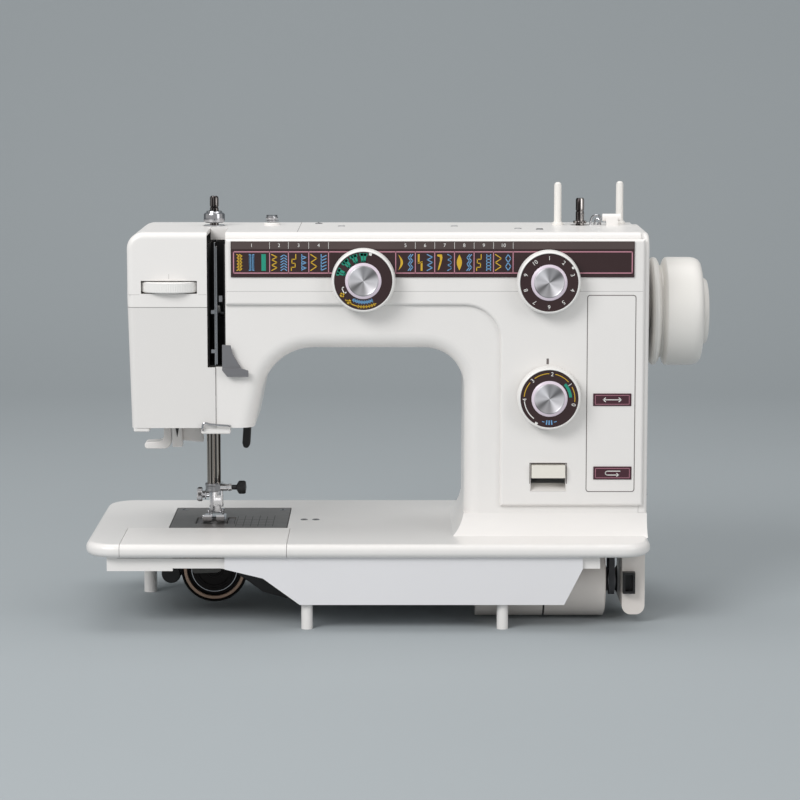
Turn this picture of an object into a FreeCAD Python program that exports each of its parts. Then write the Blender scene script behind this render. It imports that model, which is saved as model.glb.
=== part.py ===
import FreeCAD, Part, Sketcher
import os
import re
from math import acos, atan2, cos, sin
from FreeCAD import Placement, Rotation, Vector

# A flat-bed zigzag sewing machine. Millimetres, +Z up, the operator looks along +Y.
# The origin is on the table, below the middle of the whole machine.

doc = FreeCAD.newDocument("sewing_machine")
sheet = doc.addObject("Spreadsheet::Sheet", "dims")
known = []
pieces = {}
turns = {
    "x": Rotation(Vector(0, 1, 0), 90),
    "y": Rotation(Vector(1, 0, 0), -90),
    "-y": Rotation(Vector(1, 0, 0), 90),
    "z": Rotation(),
}


def sizes(**values):
    """Put named sizes into the sheet, one row each."""
    for name, size in values.items():
        known.append(name)
        row = len(known)
        sheet.set(f"A{row}", name)
        sheet.set(f"B{row}", str(size))
        sheet.setAlias(f"B{row}", name)
    sheet.recompute()


def formula(text):
    """A formula in which each named size points at its cell."""
    return re.sub(
        r"[a-z][a-z0-9_]*", lambda word: f"dims.{word[0]}" if word[0] in known else word[0], str(text))


def number(text):
    """The value of a formula now."""
    return float(sheet.evalExpression(formula(text)))


def bind(thing, prop, text):
    thing.setExpression(prop, formula(text))


def place(thing, axis, start, centre):
    """Turn a thing so that its own Z runs along axis, and bind its place to formulas."""
    thing.Placement = Placement(Vector(), turns[axis])
    along = axis[-1]
    bind(thing, f".Placement.Base.{along}", start)
    for letter, text in zip([letter for letter in "xyz" if letter != along], centre):
        bind(thing, f".Placement.Base.{letter}", text)


def box(name, x, y, z):
    """A block between low and high formulas on each axis."""
    solid = doc.addObject("Part::Box", name)
    for prop, letter, (low, high) in (("Length", "x", x), ("Width", "y", y), ("Height", "z", z)):
        bind(solid, prop, f"({high}) - ({low})")
        bind(solid, f".Placement.Base.{letter}", low)
    return solid


def rod(name, axis, radius, span, centre):
    """A round bar along an axis. The centre gives the other two places, in x, y, z order."""
    solid = doc.addObject("Part::Cylinder", name)
    bind(solid, "Radius", radius)
    bind(solid, "Height", f"({span[1]}) - ({span[0]})")
    place(solid, axis, span[0], centre)
    return solid


def cone(name, axis, radii, span, centre):
    """A round bar that tapers from the first radius to the second."""
    solid = doc.addObject("Part::Cone", name)
    bind(solid, "Radius1", radii[0])
    bind(solid, "Radius2", radii[1])
    bind(solid, "Height", f"({span[1]}) - ({span[0]})")
    place(solid, axis, span[0], centre)
    return solid


def sketch_on(body, plane, outline, offset="0"):
    """A closed outline of formula points on one of the body's own planes."""
    sketch = body.newObject("Sketcher::SketchObject", body.Name + "_outline")
    origin_plane = [item for item in body.Origin.OriginFeatures if item.Role == plane][0]
    sketch.AttachmentSupport = [(origin_plane, "")]
    sketch.MapMode = "FlatFace"
    bind(sketch, ".AttachmentOffset.Base.z", offset)
    corners = [Vector(number(across), number(up), 0) for across, up in outline]
    for index, corner in enumerate(corners):
        sketch.addGeometry(Part.LineSegment(corner, corners[(index + 1) % len(corners)]), False)
    for index, (across, up) in enumerate(outline):
        following = (index + 1) % len(outline)
        sketch.addConstraint(Sketcher.Constraint("Coincident", index, 2, following, 1))
        for kind, letter, text in (("DistanceX", "across", across), ("DistanceY", "up", up)):
            place_of = sketch.addConstraint(Sketcher.Constraint(kind, -1, 1, index, 1, number(text)))
            sketch.renameConstraint(place_of, f"{letter}{index}")
            bind(sketch, f"Constraints.{letter}{index}", text)
    return sketch


def prism(name, plane, outline, span):
    """An outline on a plane, padded between two places on the plane's normal."""
    body = doc.addObject("PartDesign::Body", name)
    low, high = span
    offset = f"-({high})" if plane == "XZ_Plane" else low
    sketch = sketch_on(body, plane, outline, offset)
    pad = body.newObject("PartDesign::Pad", name + "_pad")
    pad.Profile = sketch
    bind(pad, "Length", f"({high}) - ({low})")
    return body


def turned(name, axis, profile, start, centre):
    """A lathe piece: a profile of (radius, height) points spun about its own Z, then placed."""
    body = doc.addObject("PartDesign::Body", name)
    sketch = sketch_on(body, "XZ_Plane", profile)
    spun = body.newObject("PartDesign::Revolution", name + "_spun")
    spun.Profile = sketch
    spun.ReferenceAxis = (sketch, ["V_Axis"])
    spun.Angle = 360
    place(body, axis, start, centre)
    return body


def runs(edge, axis):
    """True for an edge that is straight along one axis."""
    spread = {"x": edge.BoundBox.XLength, "y": edge.BoundBox.YLength, "z": edge.BoundBox.ZLength}
    return all((size > 0.01) == (letter == axis) for letter, size in spread.items())


def lies_at(edge, axis, text):
    """True for an edge that lies wholly at one place on an axis."""
    reach = edge.BoundBox
    low, high = {"x": (reach.XMin, reach.XMax), "y": (reach.YMin, reach.YMax), "z": (reach.ZMin, reach.ZMax)}[
        axis]
    place_on_axis = number(text)
    return abs(low - place_on_axis) < 0.01 and abs(high - place_on_axis) < 0.01


def round_edges(body, radius, chosen):
    """Round the edges of a body that the test picks."""
    doc.recompute()
    base = body.Tip
    names = [f"Edge{index + 1}" for index, edge in enumerate(base.Shape.Edges) if chosen(edge)]
    rounding = body.newObject("PartDesign::Fillet", body.Name + "_round")
    rounding.Base = (base, names)
    bind(rounding, "Radius", radius)
    return body


def fuse(name, *solids):
    joined = doc.addObject("Part::MultiFuse", name)
    joined.Shapes = list(solids)
    return joined


def cut(name, base, *tools):
    result = doc.addObject("Part::Cut", name)
    result.Base = base
    result.Tool = tools[0] if len(tools) == 1 else fuse(name + "_tools", *tools)
    return result


def group(name, *solids):
    """Like pieces that share one node."""
    together = doc.addObject("Part::Compound", name)
    together.Links = list(solids)
    return together


def keep(node, solid):
    solid.Label = node
    pieces[node] = solid


sizes(
    bed_left=-206.5, bed_right=163.5, bed_front=-89, bed_back=89, bed_top=57.5,
    gap=0.3, running=0.05,
    arm_front=-49, arm_back=49, arm_end=157, arm_top=250, top_of_case=257.8,
    shaft_y=5, shaft_z=200.7, shaft_radius=6.5,
    needle_x=-128.5, presser_x=-126, presser_y=13, bar_radius=3,
    hook_x=-126.2, hook_z=27.5, hook_radius=22.5, rock_y=46, rock_radius=5,
)


def make_bed():
    sizes(
        bed_lip=9, bed_corner=20, bed_bullnose=4, bed_skin=5, bed_rim=8,
        flap_left=-183, flap_right=-74.5, flap_back=-26,
        plate_left=-155.7, plate_right=-76.5, plate_front=-25, plate_back=53, plate_thick=2.5,
        well_left=-150, well_right=-82, well_back=48,
        plinth_left=33, plinth_front=-58, plinth_back=58, pillar_left=41.6, pillar_foot=71.8,
        flare_waist=3.2, flare_rise=5,
        plinth_hole_left=60, plinth_hole_right=152, plinth_hole_front=-46.5, plinth_hole_back=44,
        rib_front=-82, rib_thick=2.5, rib_bottom=40.6, strip_left=-192, strip_right=-149,
        strip_top=47.3, strip_bottom=39, rib_right=130,
        hinge_y=-85.5, hinge_z=52, hinge_pin_radius=1.5, hinge_pin_length=2.5,
        bearing_left_x=-72, bearing_right_x=30, bearing_half=6, bearing_bottom=21, bearing_side=8,
    )
    rectangle = [
        ("bed_left", "bed_front"), ("bed_right", "bed_front"), ("bed_right", "bed_back"),
        ("bed_left", "bed_back")]
    slab = prism("bed_slab", "XY_Plane", rectangle, ("bed_top - bed_lip", "bed_top"))
    round_edges(slab, "bed_corner", lambda edge: runs(edge, "z"))
    round_edges(
        slab, "bed_bullnose",
        lambda edge: lies_at(edge, "z", "bed_top") or lies_at(edge, "z", "bed_top - bed_lip"))
    hollow = box(
        "bed_hollow", ("bed_left + bed_rim", "bed_right - bed_rim"), (
            "bed_front + bed_rim", "bed_back - bed_rim"),
        ("bed_top - 2 * bed_lip", "bed_top - bed_skin"))
    notch = box(
        "flap_notch", ("flap_left - gap", "flap_right + gap"), ("bed_front - 1", "flap_back + gap"),
        ("bed_top - 2 * bed_lip", "bed_top + 1"))
    plate_seat = box(
        "plate_seat", ("plate_left - gap", "plate_right + gap"), ("flap_back", "plate_back + gap"),
        ("bed_top - plate_thick", "bed_top + 1"))
    well = box(
        "hook_well", ("well_left", "well_right"), ("flap_back", "well_back"),
        ("bed_top - 2 * bed_lip", "bed_top"))
    shell = cut("bed_shell", slab, hollow, notch, plate_seat, well)
    plinth = doc.addObject("PartDesign::Body", "plinth")
    lower = sketch_on(plinth, "XY_Plane", [
        ("plinth_left", "plinth_front"), ("bed_right - gap", "plinth_front"),
        ("bed_right - gap", "plinth_back"), ("plinth_left", "plinth_back")], "bed_top - 1")
    middle = sketch_on(plinth, "XY_Plane", [
        ("pillar_left - flare_waist", "arm_front - flare_waist"), ("arm_end + 6", "arm_front - flare_waist"),
        ("arm_end + 6", "arm_back + flare_waist"),
        ("pillar_left - flare_waist", "arm_back + flare_waist")], "bed_top + flare_rise")
    upper = sketch_on(plinth, "XY_Plane", [
        ("pillar_left", "arm_front"), ("arm_end + 6", "arm_front"),
        ("arm_end + 6", "arm_back"), ("pillar_left", "arm_back")], "pillar_foot")
    flare = plinth.newObject("PartDesign::AdditiveLoft", "plinth_flare")
    flare.Profile = lower
    flare.Sections = [middle, upper]
    passage = box(
        "pillar_passage", ("plinth_hole_left", "plinth_hole_right"), (
            "plinth_hole_front", "plinth_hole_back"),
        ("bed_top - 2 * bed_lip", "pillar_foot + 1"))
    rib = box(
        "front_rib", ("flap_right + 1", "rib_right"), ("rib_front", "rib_front + rib_thick"),
        ("rib_bottom", "bed_top - bed_skin + 1"))
    strip = box(
        "flap_strip", ("strip_left", "strip_right"), ("rib_front", "rib_front + rib_thick"),
        ("strip_bottom", "strip_top"))
    strip_post = box(
        "strip_post", ("strip_left", "flap_left - 2"), ("rib_front", "rib_front + 3 * rib_thick"),
        ("strip_bottom", "bed_top - bed_skin + 1"))
    bearings = [
        box(
            f"bearing_{side}", (f"bearing_{side}_x - bearing_half", f"bearing_{side}_x + bearing_half"),
            ("rock_y - bearing_side", "rock_y + bearing_side"),
            ("bearing_bottom", "bed_top - bed_skin + 1"))
        for side in ("left", "right")]
    whole = fuse("bed_whole", shell, plinth, rib, strip, strip_post, *bearings)
    rock_bore = rod(
        "rock_bore", "x", "rock_radius + running", (
            "bearing_left_x - 2 * bearing_half", "bearing_right_x + 2 * bearing_half"),
        ("rock_y", "hook_z"))
    sockets = [
        rod(f"flap_socket_{side}", "x", "hinge_pin_radius + running", span, ("hinge_y", "hinge_z"))
        for side, span in (
            ("left", ("flap_left - hinge_pin_length - 1", "flap_left")),
            ("right", ("flap_right", "flap_right + hinge_pin_length + 1")))]
    keep("bed", cut("bed_body", whole, passage, rock_bore, *sockets))


def make_needle_plate():
    sizes(
        needle_slot_left=-131.5, needle_slot_right=-120.5, needle_slot_half=1.5,
        row_left=-138.6, row_right=-117.6, row_width=4.2, row_front=-6, row_back=12,
        slot_side=0.7, slot_end=3.5,
    )
    slab = box(
        "plate_slab", ("plate_left", "plate_right"), ("plate_front", "plate_back"),
        ("bed_top - plate_thick", "bed_top"))
    depth = ("bed_top - 2 * plate_thick", "bed_top + 1")
    needle_slot = box(
        "needle_slot", ("needle_slot_left", "needle_slot_right"), ("-needle_slot_half", "needle_slot_half"),
        depth)
    feed_slots = [
        box(
            f"feed_slot_{row}", (f"{row} - slot_side", f"{row} + row_width + slot_side"),
            ("row_front - slot_end", "row_back + slot_end"), depth)
        for row in ("row_left", "row_right")]
    keep("needle_plate", cut("plate_body", slab, needle_slot, *feed_slots))


def make_shuttle_cover():
    sizes(flap_skin=4.5, flap_rim=4, flap_front_rim=10)
    rectangle = [
        ("flap_left", "bed_front"), ("flap_right", "bed_front"), ("flap_right", "flap_back"),
        ("flap_left", "flap_back")]
    slab = prism("flap_slab", "XY_Plane", rectangle, ("bed_top - bed_lip", "bed_top"))
    round_edges(slab, "bed_bullnose", lambda edge: lies_at(edge, "y", "bed_front") and runs(edge, "x"))
    hollow = box(
        "flap_hollow", ("flap_left + flap_rim", "flap_right - flap_rim"),
        ("bed_front + flap_front_rim", "flap_back - flap_rim"),
        ("bed_top - 2 * bed_lip", "bed_top - flap_skin"))
    pins = rod(
        "flap_pins", "x", "hinge_pin_radius", (
            "flap_left - hinge_pin_length", "flap_right + hinge_pin_length"),
        ("hinge_y", "hinge_z"))
    keep("shuttle_cover", cut("flap_body", fuse("flap_with_pins", slab, pins), hollow))


def make_under_tray():
    sizes(
        tray_front=-84.5, tray_wall=2.5, tray_top=40.6, tray_bottom=17,
        tray_left=-66, tray_curve_left=-115, tray_right=106.5, tray_slant=118.5, tray_back=60, tray_end=44,
        curve_mid_x=-90, curve_mid_z=34.5, curve_low_x=-77, curve_low_z=25, tray_seat=48.4,
        leg_radius=3.75, leg_left_x=-61.6, leg_right_x=66.5, leg_y=-77.8,
        rear_leg_radius=4.5, rear_leg_left_x=-174.7, rear_leg_left_y=45, rear_leg_right_x=140,
        rear_leg_right_y=62,
    )
    skirt = prism("tray_skirt", "XZ_Plane", [
        ("tray_curve_left", "tray_seat"), ("tray_curve_left", "tray_top"), ("curve_mid_x", "curve_mid_z"),
        ("curve_low_x", "curve_low_z"), ("tray_left", "tray_bottom"), ("tray_right", "tray_bottom"),
        ("tray_slant", "tray_top"), ("tray_slant", "tray_seat")], ("tray_front", "tray_front + tray_wall"))
    floor_plate = box(
        "tray_floor", ("tray_left", "tray_end"), ("tray_front + 1", "tray_back"),
        ("tray_bottom", "tray_bottom + tray_wall"))
    rear_wall = box(
        "tray_rear", ("tray_left", "tray_end"), ("tray_back - tray_wall", "tray_back"),
        ("tray_bottom", "tray_seat"))
    side_wall = box(
        "tray_side", ("tray_end - tray_wall", "tray_end"), ("tray_front + 1", "tray_back"),
        ("tray_bottom", "rib_bottom - gap"))
    shaft_hole = rod(
        "tray_shaft_hole", "x", "rock_radius + 2", ("tray_end - 2 * tray_wall", "tray_end + tray_wall"),
        ("rock_y", "hook_z"))
    leg_hole = rod("tray_leg_hole", "z", "leg_radius + gap", ("0", "tray_seat"), ("leg_left_x", "leg_y"))
    keep(
        "under_tray",
        cut("tray_body", fuse("tray_walls", skirt, floor_plate, rear_wall, side_wall), shaft_hole, leg_hole))
    front_legs = [
        rod(f"leg_{side}", "z", "leg_radius", ("0", "rib_bottom"), (f"leg_{side}_x", "leg_y"))
        for side in ("left", "right")]
    rear_legs = [
        rod(
            f"rear_leg_{side}", "z", "rear_leg_radius", ("0", "bed_top - bed_skin"),
            (f"rear_leg_{side}_x", f"rear_leg_{side}_y"))
        for side in ("left", "right")]
    keep("legs", group("leg_set", *front_legs, *rear_legs))


def make_hinge_sockets():
    sizes(
        socket_left_x=-153.5, socket_right_x=110.5, socket_half=8, socket_front=66, socket_back=88,
        socket_height=14, socket_bore=4.8, socket_depth=20,
    )
    for side in ("left", "right"):
        middle = f"socket_{side}_x"
        block = box(
            f"socket_block_{side}", (f"{middle} - socket_half", f"{middle} + socket_half"), (
                "socket_front", "socket_back"),
            ("bed_top - bed_lip - socket_height", "bed_top - bed_lip"))
        bore = rod(
            f"socket_bore_{side}", "y", "socket_bore", ("socket_back - socket_depth", "socket_back + 1"),
            (middle, "bed_top - bed_lip - socket_height / 2"))
        keep(f"hinge_socket_{side}", cut(f"socket_body_{side}", block, bore))


def make_arm_casting():
    sizes(
        wall=5, head_left=-121.8, slot_right=-115.2, slot_left=-126.9, slot_floor=169.2, head_bottom=128.7,
        head_corner_x=-96.8, head_side_x=-93, head_side_z=146.7, head_hollow_left=-117,
        head_hollow_right=-109,
        arch_left=-86.1, arch_top=181.1, arch_radius_left=35, arch_radius_right=26, arch_flare=10,
        slot_back=32, bush_radius=9.5, stem_radius=4,
        width_x=-24.5, width_z=227.1, selector_x=96.6, selector_z=226, length_x=97.3, length_z=149.6,
        window_left=85.3, window_right=109.2, window_bottom=86.6, window_top=105.4,
        bracket_left=-170, bracket_front=26, bracket_thick=6, bracket_bottom=132, bracket_top=245,
        lug_left=-134, lug_right=-118, lug_front=9, lug_height=8, lower_lug_z=134, upper_lug_z=224,
        top_lug_z=240,
        swing_x=-139, swing_z=232, swing_front=4, tension_x=-152.1, tension_y=-34, tension_arm_z=209,
        guide_left=-166, guide_right=-150, guide_front=12, guide_height=6, threader_left=-160,
        threader_right=-156,
        threader_front=16, threader_back=22, slider_gap=0.2,
        lifter_x=-116, lifter_z=150, lifter_pin_end=57, take_up_y=-24, take_up_z=205, take_up_pin=2.5,
        take_up_end=-123,
        reverse_y=-36, reverse_z=98, reverse_pin=2, reverse_lug_left=79, reverse_lug_right=111,
        reverse_lug=4,
        cam_left=-16, cam_y=-28, cam_z=224, cam_shaft=3, cam_lug_left=-15.5, cam_lug_right=37.5, cam_lug=4,
        cam_lug_half=5,
    )
    block = prism("casting_block", "XZ_Plane", [
        ("pillar_left", "pillar_foot"), ("arm_end", "pillar_foot"), ("arm_end", "arm_top"), (
            "slot_right", "arm_top"),
        ("slot_right", "slot_floor"), ("head_left", "slot_floor"), ("head_left", "head_bottom"),
        ("head_corner_x", "head_bottom"), ("head_side_x", "head_side_z"), ("arch_left", "arch_top"),
        ("pillar_left", "arch_top")], ("arm_front", "arm_back"))
    for corner, radius in (("arch_left", "arch_radius_left"), ("pillar_left", "arch_radius_right")):
        round_edges(
            block, radius,
            lambda edge: runs(edge, "y") and lies_at(edge, "x", corner) and lies_at(edge, "z", "arch_top"))

    def borders_arch(edge):
        on_face = lies_at(edge, "y", "arm_front") or lies_at(edge, "y", "arm_back")
        middle = edge.BoundBox.Center
        across = number("head_corner_x - 1") < middle.x < number("pillar_left + 1")
        above_feet = middle.z > number("pillar_foot + 1") and not lies_at(edge, "z", "head_bottom")
        return on_face and across and above_feet and middle.z < number("arch_top + 1")
    round_edges(block, "arch_flare", borders_arch)
    inside_y = ("arm_front + wall", "arm_back - wall")
    hollows = [
        box(
            "arm_hollow", ("slot_right + wall", "arm_end - wall"), inside_y,
            ("arch_top + wall", "arm_top + 1")),
        box(
            "pillar_hollow", ("pillar_left + wall", "arm_end - wall"), inside_y,
            ("pillar_foot - 1", "shaft_z")),
        box(
            "head_hollow", ("head_hollow_left", "head_hollow_right"), inside_y,
            ("head_bottom - 1", "arch_top + 2 * wall")),
        rod(
            "front_bush_hole", "x", "bush_radius", ("slot_right - 1", "slot_right + wall + 1"),
            ("shaft_y", "shaft_z")),
        rod(
            "rear_bush_hole", "x", "bush_radius", ("arm_end - wall - 1", "arm_end + 1"),
            ("shaft_y", "shaft_z")),
        box(
            "casting_window", ("window_left", "window_right"),
            ("arm_front - 1", "arm_front + wall + 1"), ("window_bottom", "window_top")),
    ]
    through_front = ("arm_front - 1", "arm_front + wall + 1")
    for dial in ("width", "selector", "length"):
        hollows.append(
            rod(f"{dial}_hole", "y", "stem_radius + 0.6", through_front, (f"{dial}_x", f"{dial}_z")))
    shell = cut("casting_shell", block, *hollows)
    bracket_back = "bracket_front + bracket_thick"
    into_bracket = "bracket_front + 1"
    lugs = [
        box(
            f"{place_name}_lug", ("lug_left", "lug_right"), ("lug_front", into_bracket),
            (bottom, f"{bottom} + {height}"))
        for place_name, bottom, height in (
            ("lower", "lower_lug_z", "lug_height"), ("upper", "upper_lug_z", "lug_height"),
            ("top", "top_lug_z", "lug_height / 2"))]
    arms = [
        box(
            "head_bracket", ("bracket_left", "slot_right + 1"), ("bracket_front", bracket_back),
            ("bracket_bottom", "bracket_top")),
        box(
            "slot_backing", ("slot_left", "slot_right + 1"), ("slot_back - 1", "arm_back"),
            ("slot_floor", "arm_top")),
        rod("swing_pin", "y", "bar_radius", ("swing_front", into_bracket), ("swing_x", "swing_z")),
        box(
            "tension_arm", ("tension_x - 4", "tension_x + 4"), ("tension_y - 4", into_bracket),
            ("tension_arm_z", "tension_arm_z + wall")),
        rod(
            "tension_pin", "z", "bar_radius", ("tension_arm_z + 1", "tension_arm_z + 21"),
            ("tension_x", "tension_y")),
        box(
            "threader_guide", ("guide_left", "guide_right"), ("guide_front", into_bracket),
            ("lower_lug_z", "lower_lug_z + guide_height")),
        rod("lifter_pin", "y", "bar_radius", ("arm_back - 1", "lifter_pin_end"), ("lifter_x", "lifter_z")),
        rod(
            "take_up_pin_rod", "x", "take_up_pin", ("take_up_end", "slot_right + 1"),
            ("take_up_y", "take_up_z")),
        rod(
            "reverse_pin_rod", "x", "reverse_pin",
            ("reverse_lug_left", "reverse_lug_right + reverse_lug"), ("reverse_y", "reverse_z")),
    ]
    for side in ("left", "right"):
        arms.append(box(
            f"reverse_lug_block_{side}", (f"reverse_lug_{side}", f"reverse_lug_{side} + reverse_lug"),
            ("arm_front + wall - 1", "reverse_y + 3"), ("reverse_z - 4", "reverse_z + 4")))
        arms.append(box(
            f"cam_lug_block_{side}", (f"cam_lug_{side}", f"cam_lug_{side} + cam_lug"),
            ("arm_front + wall - 1", "cam_y + cam_lug_half"),
            ("cam_z - cam_lug_half", "cam_z + cam_lug_half")))
    whole = fuse("casting_whole", shell, *lugs, *arms)
    bores = [
        rod(
            "presser_bore", "z", "bar_radius + running", ("lower_lug_z - 1", "top_lug_z - 1"),
            ("presser_x", "presser_y")),
        rod(
            "cam_bore", "x", "cam_shaft + running", ("cam_lug_left - 1", "cam_lug_right + cam_lug + 1"),
            ("cam_y", "cam_z")),
        rod(
            "pressure_bore", "z", "bar_radius + 0.4", ("top_lug_z - 1", "bracket_top"),
            ("presser_x", "presser_y")),
        box(
            "threader_bore", ("threader_left - slider_gap", "threader_right + slider_gap"),
            ("threader_front - slider_gap", "threader_back + slider_gap"),
            ("lower_lug_z - 1", "lower_lug_z + guide_height + 1")),
    ]
    keep("arm_casting", cut("casting_body", whole, *bores))


def make_covers():
    sizes(
        panel_front=-52, panel_left=-115, panel_low=210.2, panel_pillar=65.5, panel_foot=76.8,
        panel_right=159.9,
        panel_top=253.5, panel_bend=24, panel_edge=2,
        face_front=-50, face_back=50, face_left=-179.7, face_left_low=-177.5, face_taper_z=213,
        face_right=-122.1,
        face_slot=-127.2, face_corner=11, face_edge=4, face_wall=2.5,
        thumb_left=-170.5, thumb_right=-133.7, thumb_bottom=217.5, thumb_top=226.1,
        pressure_hole=7.6, cover_front=-48.7, cover_back=48.7, cover_notch=-12, cover_edge=4.5,
        cover_bottom=250.2, cover_wall=3,
        winder_x=121.3, winder_y=20, winder_hole=6.5, winder_pivot_x=134, winder_pivot_y=32, winder_pin=2,
        end_right=163, end_top=257, end_corner=12, end_edge=2.5,
        chart_left=-111.2, chart_right=152.7, chart_bottom=228.7, chart_top=252.2, chart_thick=0.8,
    )
    panel = prism("panel_sheet", "XZ_Plane", [
        ("panel_left", "panel_low"), ("panel_pillar", "panel_low"), ("panel_pillar", "panel_foot"),
        ("panel_right", "panel_foot"), ("panel_right", "panel_top"),
        ("panel_left", "panel_top")], ("panel_front", "arm_front"))
    round_edges(panel, "panel_bend", lambda edge: (
        runs(edge, "y") and lies_at(edge, "x", "panel_pillar") and lies_at(edge, "z", "panel_low")))
    round_edges(panel, "panel_edge", lambda edge: lies_at(edge, "y", "panel_front"))
    through = ("panel_front - 1", "arm_front + 1")
    holes = [
        rod(f"panel_{dial}_hole", "y", "stem_radius + running", through, (f"{dial}_x", f"{dial}_z"))
        for dial in ("width", "selector", "length")]
    window = box("panel_window", ("window_left", "window_right"), through, ("window_bottom", "window_top"))
    keep("front_panel", cut("panel_body", panel, window, *holes))

    shell = prism("face_block", "XZ_Plane", [
        ("face_left_low", "head_bottom"), ("face_right", "head_bottom"), ("face_right", "slot_floor - gap"),
        ("face_slot", "slot_floor - gap"), ("face_slot", "top_of_case"), ("face_left", "top_of_case"),
        ("face_left", "face_taper_z")], ("face_front", "face_back"))
    round_edges(shell, "face_corner", lambda edge: (
        runs(edge, "y") and lies_at(edge, "x", "face_left") and lies_at(edge, "z", "top_of_case")))

    def outer_rim(edge):
        on_face = lies_at(edge, "y", "face_front") or lies_at(edge, "y", "face_back")
        middle = edge.BoundBox.Center
        return on_face and (
            middle.x < number("face_left + face_corner") or lies_at(edge, "z", "top_of_case"))
    round_edges(shell, "face_edge", outer_rim)
    inner = prism("face_hollow", "XZ_Plane", [
        ("face_left_low + face_wall", "head_bottom - 9"), ("face_right + 20", "head_bottom - 9"),
        ("face_right + 20", "top_of_case - face_wall"), (
            "face_left + face_wall", "top_of_case - face_wall"),
        ("face_left + face_wall", "face_taper_z")], ("face_front + face_wall", "face_back - face_wall"))
    round_edges(inner, "face_corner - face_wall", lambda edge: (
        runs(edge, "y") and lies_at(edge, "x", "face_left + face_wall")
        and lies_at(edge, "z", "top_of_case - face_wall")))
    thumb_window = box(
        "thumb_window", ("thumb_left", "thumb_right"), ("face_front - 1", "face_front + face_wall + 1"),
        ("thumb_bottom", "thumb_top"))
    hole_span = ("cover_bottom - 5", "top_of_case + 1")
    face_hole = rod("face_pressure_hole", "z", "pressure_hole", hole_span, ("presser_x", "presser_y"))
    keep("face_cover", cut("face_body", shell, inner, thumb_window, face_hole))

    lid = prism("cover_block", "XY_Plane", [
        ("panel_left", "cover_front"), ("arm_end", "cover_front"), ("arm_end", "cover_back"), (
            "slot_left", "cover_back"),
        ("slot_left", "cover_notch"), ("panel_left", "cover_notch")], ("cover_bottom", "top_of_case"))
    round_edges(lid, "cover_edge", lambda edge: lies_at(edge, "z", "top_of_case") and (
        lies_at(edge, "y", "cover_front") or lies_at(edge, "y", "cover_back")))
    hollow = box(
        "cover_hollow", ("slot_right + wall", "arm_end - wall"), ("arm_front + wall", "arm_back - wall"),
        ("cover_bottom - 1", "top_of_case - cover_wall"))
    winder_opening = rod("winder_opening", "z", "winder_hole", hole_span, ("winder_x", "winder_y"))
    cover_hole = rod("cover_pressure_hole", "z", "pressure_hole", hole_span, ("presser_x", "presser_y"))
    pivot = rod(
        "winder_pivot", "z", "winder_pin", ("cover_bottom - 8", "top_of_case - 1"),
        ("winder_pivot_x", "winder_pivot_y"))
    keep(
        "top_cover",
        fuse("cover_body", cut("cover_shell", lid, hollow, winder_opening, cover_hole), pivot))

    end = prism("end_block", "YZ_Plane", [
        ("arm_front + 0.1", "pillar_foot + 0.1"), ("arm_back - 0.1", "pillar_foot + 0.1"),
        ("arm_back - 0.1", "end_top"), ("arm_front + 0.1", "end_top")], ("arm_end + 0.2", "end_right"))
    round_edges(end, "end_corner", lambda edge: runs(edge, "x") and lies_at(edge, "z", "end_top"))
    round_edges(
        end, "end_edge",
        lambda edge: lies_at(edge, "x", "end_right") and not lies_at(edge, "z", "pillar_foot + 0.1"))
    end_hole = rod("end_hole", "x", "bush_radius + 1", ("arm_end", "end_right + 1"), ("shaft_y", "shaft_z"))
    keep("end_cover", cut("end_body", end, end_hole))

    chart = box(
        "chart_sheet", ("chart_left", "chart_right"), ("panel_front - chart_thick", "panel_front"),
        ("chart_bottom", "chart_top"))
    chart_holes = [
        rod(
            f"chart_{dial}_hole", "y", "stem_radius + 0.4", ("panel_front - 2", "panel_front + 1"),
            (f"{dial}_x", f"{dial}_z"))
        for dial in ("width", "selector")]
    keep("stitch_chart", cut("chart_body", chart, *chart_holes))


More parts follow.
